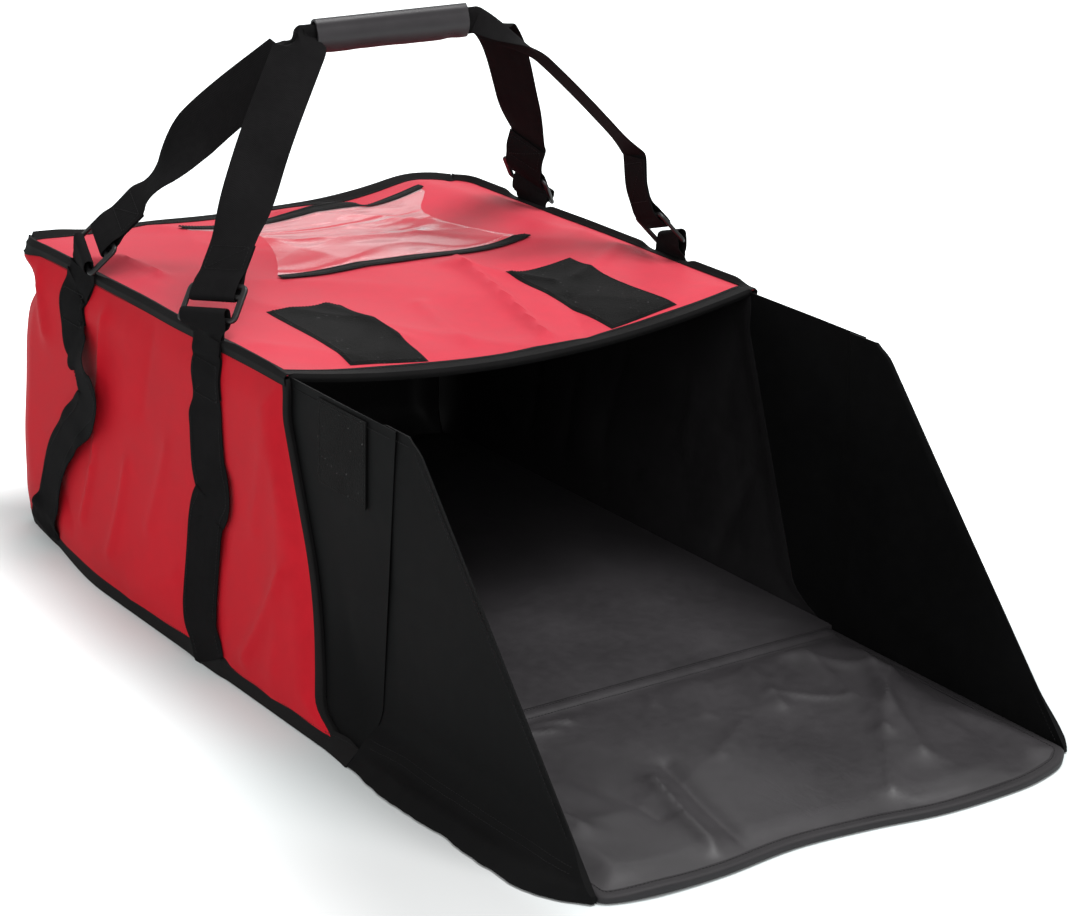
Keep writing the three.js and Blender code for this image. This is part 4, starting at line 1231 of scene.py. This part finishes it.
# pocket: the clear sheet, and a low arched tape over each of its two seams
def makePocket():
    rows = np.concatenate([[0], np.linspace(0.0637, 0.9363, 90), [1]])
    piece = dressSheet("ticket_window", windowFace, 0.5, 0.9, steps(283, 3), rows, (283, 204),
                       "vinyl", "bag", "clear_sheet", "sheet")
    x = np.linspace(pocket["left"] - 4, pocket["right"] + 4, 90)
    profile = ribbonProfile([[-6.5, 0], [-5.5, 0.1], [0, 0.35], [5.5, 0.1], [6.5, 0]], 0.8, 2)
    ends = smooth(np.minimum(x - x[0], x[-1] - x) / 5)[:, None]
    for name, y in (("front", pocket["front"] + 1), ("rear", pocket["front"] + 203)):
        at = y + profile[None, :, 0]
        sections = stack(x[:, None], y + profile[None, :, 0] * mix(0.75, 1, ends),
                         topFace(x[:, None], at) + 1.8 + profile[None, :, 1])
        dressBand(f"ticket_{name}_tape", sections)
        for offset in (-4, 4):
            line = stack(x, y + offset, topFace(x, y + offset) + 2.45)
            stitch("bag", line, upward)


makePocket()
print("ticket pocket made")


# webbing, sliders and handle

slider = {"thick": 4, "bar": 5, "cheek": 6, "window": 19, "slot": 6, "play": 2.2, "bow": 2.2,
          "voxel": 0.5}
grip = {"length": 170, "x": 2.5, "y": 52, "z": 551, "wall": 1.8, "lead": 5}
strapApart = strap["foldRadius"] + strap["thick"] / 2 + bag["gap"]
middleBar = slider["bar"] / 2 + slider["window"] + slider["bar"] / 2
sliderTop = middleBar + slider["bar"] / 2 + slider["slot"] + slider["bar"]


# where a slider sits: its origin on the lower bar, up towards the grip, out from the bag and
# along its bars, turned about up by a twist in degrees
class Slider:
    def __init__(self, name, side, y, twist):
        self.name, self.side, self.y = name, side, y
        self.origin = np.array([side * (bag["halfWidth"] + strap["barOut"]), y,
                                bag["height"] + strap["barHeight"]])
        end = np.array([grip["x"] + side * grip["length"] / 2, grip["y"], grip["z"]])
        self.up = unit(end - self.origin)
        square = unit(forward - self.up * forward.dot(self.up))
        turn = math.radians(-twist * side)
        self.bar = (square * math.cos(turn) + np.cross(self.up, square) * math.sin(turn))
        self.out = unit(np.cross(self.bar, self.up))
        if self.out[0] * side < 0:
            self.out = -self.out

    def at(self, up, out):
        return self.origin + self.up * up + self.out * out


sliders = [Slider("front_left", -1, strap["frontY"], 15),
           Slider("front_right", 1, strap["frontY"], 0),
           Slider("rear_left", -1, strap["rearY"], 0), Slider("rear_right", 1, strap["rearY"], 0)]


# a mesh's vertices as one array
def coordinates(mesh):
    values = np.zeros(len(mesh.vertices) * 3)
    mesh.vertices.foreach_get("co", values)
    return values.reshape(-1, 3)


# one mesh from two objects, which are removed
def joinedMesh(name, first, second):
    mesh = bpy.data.meshes.new(name)
    faces, shift, places = [], 0, []
    for part in (first, second):
        places.append(coordinates(part.data))
        faces += [[i + shift for i in p.vertices] for p in part.data.polygons]
        shift += len(part.data.vertices)
        bpy.data.objects.remove(part)
    mesh.from_pydata(np.concatenate(places).tolist(), [], faces)
    return mesh


# slider: a rounded frame and a middle bar, joined by remeshing, smoothed, and bowed by a
# square across its width
def makeSliders():
    halfX = strap["width"] / 2 + slider["play"] + slider["cheek"] / 2
    high = sliderTop - slider["bar"] / 2
    corner = 4
    centres = [(halfX - corner, corner, -90), (halfX - corner, high - corner, 0),
               (-halfX + corner, high - corner, 90), (-halfX + corner, corner, 180)]
    loop = []
    for cx, cy, start in centres:
        angle = np.radians(start + np.linspace(0, 90, 7))
        loop.append(stack(cx + corner * np.cos(angle), cy + corner * np.sin(angle), 0))
    loop = np.concatenate(loop)
    closed = evenly(np.concatenate([loop, loop[:1]]), 1.5)[:-1]
    along = unit(np.roll(closed, -1, 0) - np.roll(closed, 1, 0))
    normal = np.cross(along, upward)
    angle = np.linspace(0, 2 * math.pi, 16, endpoint=False)
    flat, tall = (np.abs(wave) ** 0.7 * np.sign(wave) for wave in (np.cos(angle), np.sin(angle)))
    rise = tall[None, :] * slider["thick"] / 2
    wide = mix(slider["bar"], slider["cheek"], np.abs(along[:, 1:2])) / 2
    frameSections = (closed[:, None, :] + (wide * flat[None, :])[..., None] * normal[:, None, :]
                     + stack(0, 0, rise))
    x = np.linspace(-halfX, halfX, 30)
    bar = stack(x[:, None], middleBar + flat[None, :] * slider["bar"] / 2, rise)
    for place in sliders:
        mesh = joinedMesh(f"{place.name}_slider", sweepObject("ring", frameSections, ring=True),
                          sweepObject("rod", bar))
        piece = addObject(f"{place.name}_slider", mesh)
        remesh = piece.modifiers.new("remesh", "REMESH")
        remesh.mode = "VOXEL"
        remesh.voxel_size = slider["voxel"] * 0.001
        piece.modifiers.new("soften", "SMOOTH").iterations = 4
        depsgraph = bpy.context.evaluated_depsgraph_get()
        made = bpy.data.meshes.new_from_object(piece.evaluated_get(depsgraph))
        piece.modifiers.clear()
        piece.data = made
        co = coordinates(made) * 1000
        bowed = co[:, 2:] + slider["bow"] * (0.35 - (co[:, :1] / halfX) ** 2)
        world = (place.origin + co[:, :1] * np.cross(place.up, place.out)
                 + co[:, 1:2] * place.up + bowed * place.out)
        made.vertices.foreach_set("co", (world * 0.001).ravel())
        made.polygons.foreach_set("use_smooth", np.ones(len(made.polygons), bool))
        made.update()
        finishPiece(piece, "buckle", "handle", "buckle", [f"{place.name}_buckle"])


webbingColumns = np.concatenate([[-1, -0.97], np.linspace(-0.92, 0.92, 15), [0.97, 1]])


# one section of webbing for each station: a band with soft edges, folded about its middle
def webbingSections(at, width, fold):
    across = webbingColumns
    radius, half = strap["foldRadius"], strap["thick"] / 2
    along = heading(at)
    width = unit(width - along * np.einsum("ij,ij->i", width, along)[:, None])
    up = unit(np.cross(width, along))
    edge = 1 - 0.45 * smooth((np.abs(across) - 0.93) / 0.07)
    face = np.concatenate([np.ones(len(across)), -np.ones(len(across))]) * np.concatenate(
        [edge, edge[::-1]])
    arc = np.concatenate([across, across[::-1]]) * strap["width"] / 2
    bend = fold[:, None] * radius / 2
    onBend = np.sign(arc)[None, :] * np.minimum(np.abs(arc)[None, :], bend)
    leg = arc[None, :] - onBend
    angle = onBend / radius
    out = face[None, :] * half
    sideways = radius * np.sin(angle) + leg * np.cos(angle) + out * np.sin(angle)
    rise = out * np.cos(angle) - radius * (1 - np.cos(angle)) - leg * np.sin(angle)
    return (at[:, None, :] + sideways[..., None] * width[:, None, :]
            + rise[..., None] * up[:, None, :])


sidePaths = {
    "front_left": ([302, 246, 190, 162, 136, 54, 7], [-62, -72, -80, -90, -77, -80, -102],
                   [0, -6, -8, -8, -8, -8, -3]),
    "front_right": ([302, 200, 100, 7], [-62, -66, -76, -100], [0, 5, -8, 0]),
    "rear_left": ([302, 280, 255, 238, 224, 204, 182, 139, 95, 70, 40, 7],
                  [strap["rearY"] + 1, 197, 198, 186, 172, 162, 153, 201, 237, 244, 253, 278],
                  [0, 0, 2, 8, 14, 8, 6, 8, 6, 6, 3, 0]),
    "rear_right": ([302, 260, 180, 110, 60, 7], [strap["rearY"], 180, 186, 226, 264, 286],
                   [0, 8, 16, 10, 6, 0]),
}


# middle line of a side strap: its place along y at a height, from a smooth curve
def sideCentre(place, z):
    heights, ys, _ = sidePaths[place.name]
    curve = spline(stack(heights[::-1], ys[::-1]), 200)
    return np.interp(z, curve[:, 0], curve[:, 1])


# stitches on a doubled strap: both edges, both ends and a cross
def stitchBox(place, box):
    ends = ((box[0], box[0], 21), (box[-1], box[-1], 21), (box[0], box[-1], 21),
            (box[0], box[-1], -21))
    for share in (-strap["seam"], strap["seam"]):
        stitch("bag", box + forward * share * strap["width"] / 2, (place.side, 0, 0))
    for a, b, half in ends:
        line = mix(a - forward * half, b + forward * half, np.linspace(0, 1, 20)[:, None])
        stitch("bag", line, (place.side, 0, 0))


# a point of a side strap, set out from the fullest part of the panel under it
def onPanel(place, out, z):
    y = float(sideCentre(place, min(z, 300)))
    under = y + np.linspace(-25, 25, 7)
    height = np.full(7, min(z, 304.9))
    swell = sideSwell(place.side, under, height) + spread(under, height)
    return np.array([place.side * (bag["halfWidth"] + out + float(swell.max())), y, z])


# how far out webbing lies: on the panel, doubled on it, over the tape, and doubled over it
onCloth = bag["gap"] + strap["thick"] / 2
doubled = onCloth + strap["thick"] + bag["gap"]
overTape = onCloth + bag["tape"] + bag["gap"]
doubledOver = 3 * bag["gap"] + 1.5 * strap["thick"] + bag["tape"] + 0.1
strapKink, strapAbove = bag["height"] - 14, bag["height"] + 2.5


# upper part of a side strap: over the tape, round the slider's bar by half a circle and back
# over itself
def strapLoop(place):
    radius = slider["thick"] / 2 + strap["loopPlay"] + strap["thick"] / 2
    outward = unit(np.cross(place.bar, upward))
    outward = outward * (1 if outward[0] * place.side > 0 else -1)
    rise = np.cross(outward, place.bar)
    rise = rise * (1 if rise[2] > 0 else -1)

    def onBar(out, lift):
        return place.origin + outward * out + rise * lift

    def rising(out, barSide, s):
        path = mix(onPanel(place, out, strapAbove), onBar(barSide, 0), s)
        return (path + outward * (barSide + strap["barOut"] - out) * (s - s * s),
                unit(mix(forward, place.bar, s * (2 - s))))

    def panelRun(*levels):
        return [(onPanel(place, out, z), forward) for out, z in levels]

    run = panelRun((onCloth, strap["double"]), (onCloth, strapKink - 20), (onCloth, strapKink - 5),
                   (overTape, strapKink), (overTape, strapAbove))
    run += [rising(overTape, -radius, s) for s in (0.35, 0.7, 1)]
    run += [(onBar(radius * math.cos(a), strap["loopSlack"] + radius * math.sin(a)), place.bar)
            for a in math.pi * (1 - np.linspace(0, 1, 9))]
    run += [rising(doubledOver, radius, s) for s in (1, 0.7, 0.35)]
    run += panelRun((doubledOver, strapAbove), (doubledOver, strapKink), (doubled, strapKink - 5),
                    (doubled, strapKink - 20), (doubled, strap["double"] - 2))
    return run


# lower part of a side strap: down the panel with a little slack by noise, turned by its lean
def strapFall(place):
    heights, _, leans = sidePaths[place.name]
    z = np.linspace(strap["double"] - 16, 7, 16)
    under = np.array([onPanel(place, onCloth, h) for h in z])
    out = np.abs(under[:, 0])
    for _ in range(3):
        out[1:-1] = np.maximum(out[1:-1], (out[:-2] + out[2:]) / 2)
    lean = np.radians(np.interp(z, heights[::-1], leans[::-1]))
    slack = 1.2 * noise(stack(place.y, z, place.side * 40), 50, 5) + 0.8
    out = out + smooth((z - 16) / 20) * slack + 25 * np.abs(np.sin(lean))
    return zip(stack(place.side * out, under[:, 1], under[:, 2]),
               stack(place.side * np.sin(lean), -np.cos(lean), 0))


# side strap: up the panel, doubled near the top, over the tape and round the slider's bar
def makeSideStraps():
    for place in sliders:
        ats, widths = zip(*strapLoop(place), *strapFall(place))
        both = spline(np.array(ats), 420, np.array(widths))
        sections = webbingSections(both[:, :3], both[:, 3:], np.zeros(len(both)))
        dressBand(f"{place.name}_side_strap", sections, "webbing", slotName="webbing",
                  kind="webbing")
        lower = both[(both[:, 2] < strap["double"] - 20) & (np.arange(len(both)) > 210)]
        for share in (-strap["seam"], strap["seam"]):
            line = lower[:, :3] + unit(lower[:, 3:]) * share * strap["width"] / 2
            line = line + np.array([place.side * strap["threadOut"], 0, 0])
            stitch("bag", line, (place.side, 0, 0))
        z = np.linspace(strap["double"] + 1, strapKink - 8, 12)
        stitchBox(place, np.array([onPanel(place, doubled + strap["threadOut"], h) for h in z]))


# how far from a slider's middle plane a ply lies, and how far the webbing keeps off its bar
ply = strap["thick"] / 2 + bag["gap"]
eyeOut = slider["thick"] / 2 + 0.9 + strap["thick"] / 2
eyeDown = slider["bar"] / 2 + 1.2 + strap["thick"] / 2


# the way the photo looks, from which each strap's turn is measured
lookAlong = np.array([0.545, 0.768, -0.336])
# how each strap runs up to the grip: turn lists its lean in degrees at shares of the way
strapRuns = {
    "front_left": {"lead": 60, "leave": 50, "out": 0.05, "turn": ((0.3, 0), (0.9, 0)),
                   "to": 0.1, "open": 0.86},
    "front_right": {"lead": 30, "leave": 45, "out": 0.6, "turn": ((0.2, 84), (0.7, 84)),
                    "to": 0.3, "open": 0.6, "kick": (12, -3, 28)},
    "rear_left": {"lead": 34, "leave": 40, "out": 0.5, "to": 0.12, "open": 0.84,
                  "turn": ((0.12, 64), (0.19, 62), (0.43, 4), (0.9, 4))},
    "rear_right": {"lead": 60, "leave": 50, "out": 0.75, "turn": ((0.3, 38), (0.7, 38)),
                   "to": 0.25, "open": 0.75, "kick": (13, 0, 6)},
}


# handle strap: sewn back on itself round a slider's middle bar by half a circle, then up to
# the grip along a cubic curve, sunk by half its width where it hangs and folded at its end
def handleEnd(place, y):
    top = sliderTop + strap["tail"]
    local = [(top, -ply), (sliderTop + 24, -ply), (sliderTop + 12, -ply),
             (sliderTop + 1, -eyeOut), (middleBar, -eyeOut)]
    for s in (0.17, 0.33, 0.5, 0.67, 0.83):
        local.append((middleBar - eyeDown * math.sin(math.pi * s),
                      -eyeOut * math.cos(math.pi * s)))
    local += [(middleBar, eyeOut), (sliderTop + 1, eyeOut), (sliderTop + 12, ply),
              (sliderTop + 24, ply), (top, ply)]
    run = strapRuns[place.name]
    kick = np.array(run.get("kick", (0, 0, 0)), float)
    at = [place.at(*p) + kick * max(0, (p[0] - sliderTop) / strap["tail"]) ** 2 for p in local]
    width = [place.bar] * len(at)
    fold = [0.0] * len(at)
    start = at[-1]
    to = np.array([grip["x"] + place.side * (grip["length"] / 2 + 3 * grip["lead"]), y, grip["z"]])
    lead = start + place.up * run["lead"]
    leave = unit(np.array([place.side, 0.25 * np.sign(y - grip["y"]), -0.2]) * run["out"]
                 - place.up * (1 - run["out"]))
    bow = to + leave * run["leave"]
    s = np.linspace(0, 1, 25)[:, None]
    path = ((1 - s) ** 3 * start + 3 * (1 - s) ** 2 * s * lead + 3 * (1 - s) * s * s * bow
            + s**3 * to)
    natural = unit(mix(place.bar, forward, smooth(s)))
    along = heading(path)
    facing = unit(np.cross(along, lookAlong))
    edge = np.cross(facing, along)
    angle = np.unwrap(np.arctan2(np.einsum("ij,ij->i", natural, edge),
                                 np.einsum("ij,ij->i", natural, facing)))
    stops, turns = zip(*run["turn"])
    share = smooth(s[:, 0] / stops[0]) * smooth((1 - s[:, 0]) / run["to"])
    target = np.radians(np.interp(s[:, 0], stops, turns))
    target = target + math.pi * np.round((angle - target).mean() / math.pi)
    angle = mix(angle, target, share)[:, None]
    turned = facing * np.cos(angle) + edge * np.sin(angle)
    for k in range(1, 25):
        folded = float(smooth((s[k, 0] - run["open"]) / (1 - run["open"])))
        lower = -turned[k] * turned[k][2]
        sunk = 0.5 * strap["width"] * float(smooth((s[k, 0] - 0.35) / 0.5)) * (1 - folded)
        at.append(path[k] + lower * sunk)
        width.append(turned[k])
        fold.append(math.pi * folded)
    return at, width, fold


# both handle straps, and the stitched boxes and crosses above the sliders
def makeHandle():
    for name, left, right, y in (("front", sliders[0], sliders[1], grip["y"] - strapApart),
                                 ("rear", sliders[2], sliders[3], grip["y"] + strapApart)):
        a, b = handleEnd(left, y), handleEnd(right, y)
        half = grip["length"] / 2
        places = [-half - 2 * grip["lead"], -half, -half / 2, 0, half / 2, half,
                  half + 2 * grip["lead"]]
        inside = [np.array([grip["x"] + x, y, grip["z"]]) for x in places]
        at = np.array(a[0] + inside + b[0][::-1])
        width = np.array(a[1] + [forward] * len(inside) + b[1][::-1])
        fold = np.array(a[2] + [math.pi] * len(inside) + b[2][::-1])
        both = spline(at, 520, np.concatenate([width, fold[:, None]], 1))
        sections = webbingSections(both[:, :3], both[:, 3:6], np.clip(both[:, 6], 0, math.pi))
        piece = sweepObject(f"{name}_handle_webbing", sections)
        finishPiece(piece, "webbing", "handle", "webbing", [f"{name}_handle_strap"])
    for place in sliders:
        kick = strapRuns[place.name].get("kick", (0, 0, 0))
        for face in (1, -1):
            lift = face * (ply + strap["thick"] / 2 + 0.05)
            low, high = sliderTop + 13, sliderTop + strap["tail"] - 3
            corners = [(-21, low), (21, low), (21, high), (-21, high), (-21, low), (21, high)]
            for (x1, u1), (x2, u2) in zip(corners[:-1], corners[1:]):
                s = np.linspace(0, 1, 12)[:, None]
                a = place.at(u1, lift) + place.bar * x1
                b = place.at(u2, lift) + place.bar * x2
                share = (mix(u1, u2, s) - sliderTop) / strap["tail"]
                line = mix(a, b, s) + share**2 * np.array(kick)
                stitch("handle", line, place.out * face)


# grip: a sleeve round both folded straps, a little slimmer at its ends, with a bell for its
# ridge and a hem that wavers by noise
def makeGrip():
    inner = strapApart + strap["foldRadius"] + strap["thick"] / 2 + 0.5
    ridge = -strap["foldRadius"]
    leg = (strap["width"] - math.pi * strap["foldRadius"]) / 2 + 0.5
    foot = ridge - leg - 0.7
    x = np.linspace(-grip["length"] / 2, grip["length"] / 2, 90)

    # the sleeve's outline: closed at the foot, bulged by half a sine, round over the top
    def outline(radius, low, full):
        angle = np.linspace(0, math.pi, 13)
        side = np.linspace(0, 1, 12)[1:-1]
        right = [(0.4, low), (radius * 0.6, low + 0.6), (radius * 0.9, low + 2)]
        bulge = [(radius + full * math.sin(math.pi * s), mix(low + 3, ridge, s)) for s in side]
        arc = [(radius * math.cos(a), ridge + radius * math.sin(a)) for a in angle]
        left = [(-y, z) for y, z in (right + bulge)][::-1]
        return np.array(right + bulge + arc + left)

    outer = outline(inner + grip["wall"], foot - grip["wall"], 3.2)
    hollow = outline(inner, foot, 3.0)[::-1]
    profile = np.concatenate([outer, hollow])
    ends = smooth(np.minimum(x - x[0], x[-1] - x) / 6)
    wavy = 1.3 * (noise(stack(x, 0, 77), 13, 3) - 0.5)
    low = smooth((ridge - 12 - profile[:, 1]) / 10)
    lift = 1.1 * bell(profile[:, 0], -1.5, 1.6) * (profile[:, 1] > 3)
    lift[len(outer):] = 0
    across = profile[None, :, 0] * mix(0.97, 1, ends[:, None])
    rise = profile[None, :, 1] + lift[None, :] + wavy[:, None] * low[None, :]
    sections = stack(grip["x"] + x[:, None], grip["y"] + across, grip["z"] + rise)
    piece = sweepObject("grip_wrap_sleeve", sections, fine=60)
    finishPiece(piece, "grip", "handle", "grip", ["grip_wrap"])
    for side in (-1, 1):
        y = grip["y"] + side * (inner + grip["wall"] + 0.9)
        stitch("handle", stack(grip["x"] + x[2:-2], y, grip["z"] + foot + 4.5), (0, side, 0))


makeSliders()
makeSideStraps()
makeHandle()
makeGrip()
makeStitches()
print("straps, sliders, handle and stitches made")


# floor, lamps and camera

# the second floor colour is a painted shadow beside the left wing
studio = {"world": 0.55, "sky": 1.3, "floor": (0.745, 0.80, 0.80), "paintedShadowFloor": (0.57, 0.58, 0.58)}
# power, size and place of each lamp
lamps = {"key": (178, 2.0, (1.0, -1.3, 4.4)), "fill": (28, 1.8, (-2.2, -2.0, 1.6)),
         "back": (14, 1.4, (1.6, 2.2, 1.8))}


# white floor that glows to the camera away from the bag, the glow held back near it as a painted
# contact shadow, and a painted shadow darkening its colour beside the left wing; a plain bright sky
# and three soft lamps
def makeStage():
    mesh = bpy.data.meshes.new("ground")
    mesh.from_pydata([(-9, -9, -0.0006), (9, -9, -0.0006), (9, 9, -0.0006), (-9, 9, -0.0006)],
                     [], [(0, 1, 2, 3)])
    addObject("ground", mesh)
    material = bpy.data.materials.new("ground")
    tree = emptyTree(material)
    ray = put(tree, "LightPath").outputs["Is Camera Ray"]
    across, back, _ = put(tree, "SeparateXYZ", None, {0: objectPlace(tree)}).outputs
    # painted shadow: the floor's colour darkened beside the left wing
    paintedShadowMask = calc(tree, "MULTIPLY", ranged(tree, across, -0.23, -0.31, soft=True),
               ranged(tree, back, -0.22, -0.54, soft=True))
    diffuse = put(tree, "BsdfDiffuse", None, {
        0: blendColours(tree, paintedShadowMask, studio["floor"], studio["paintedShadowFloor"])})
    # painted contact shadow: the camera-only glow is held back in a band round the bag, wider towards
    # the front
    halfWide = calc(tree, "MULTIPLY_ADD", back, -0.16, 0.272)
    beside = calc(tree, "SUBTRACT", calc(tree, "ABSOLUTE", across), halfWide)
    middle = calc(tree, "ABSOLUTE", calc(tree, "ADD", back, 0.155))
    away = calc(tree, "MAXIMUM", beside, calc(tree, "SUBTRACT", middle, 0.48))
    level = ranged(tree, away, 0.0, 0.25, (0.02, 0.8), soft=True)
    glowAroundPaintedShadow = put(tree, "Emission", None, {0: (1, 1, 1, 1), 1: calc(tree, "MULTIPLY", ray, level)})
    both = put(tree, "AddShader", None, {0: diffuse.outputs[0], 1: glowAroundPaintedShadow.outputs[0]})
    put(tree, "OutputMaterial", None, {0: both.outputs[0]})
    mesh.materials.append(material)

    world = bpy.data.worlds.new("studio")
    tree = emptyTree(world)
    ray = put(tree, "LightPath").outputs["Is Camera Ray"]
    level = ranged(tree, ray, 0.0, 1.0, (studio["world"], studio["sky"]))
    light = put(tree, "Background", None, {0: (1, 1, 1, 1), 1: level})
    put(tree, "OutputWorld", None, {0: light.outputs[0]})
    bpy.context.scene.world = world

    for name, (power, size, place) in lamps.items():
        lamp = bpy.data.lights.new(name, "AREA")
        lamp.energy = power
        lamp.size = size
        holder = addObject(name, lamp)
        holder.location = place
        holder.rotation_euler = (Vector((0, -0.1, 0.15)) - Vector(place)).to_track_quat(
            "-Z", "Y").to_euler()


photoView = {"place": (-1.43689, -2.23775, 1.07180), "azimuth": 35.380, "elevation": 19.645,
             "roll": 1.3294, "lens": 95.07}


# camera at the photo's place, turned by azimuth, elevation and roll
def makeCamera():
    az, el, roll = (math.radians(photoView[k]) for k in ("azimuth", "elevation", "roll"))
    ahead = Vector((math.sin(az) * math.cos(el), math.cos(az) * math.cos(el), -math.sin(el)))
    right = Vector((math.cos(az), -math.sin(az), 0))
    up = right.cross(ahead)
    turnedRight = right * math.cos(roll) + up * math.sin(roll)
    turnedUp = up * math.cos(roll) - right * math.sin(roll)
    camera = addObject("photo_camera", bpy.data.cameras.new("photo_camera"))
    matrix = Matrix((turnedRight, turnedUp, -ahead)).transposed().to_4x4()
    matrix.translation = Vector(photoView["place"])
    camera.matrix_world = matrix
    camera.data.lens = photoView["lens"]
    camera.data.sensor_width = 36
    camera.data.sensor_fit = "HORIZONTAL"
    bpy.context.scene.camera = camera
    bpy.context.scene.view_settings.view_transform = "Standard"


makeStage()
makeCamera()
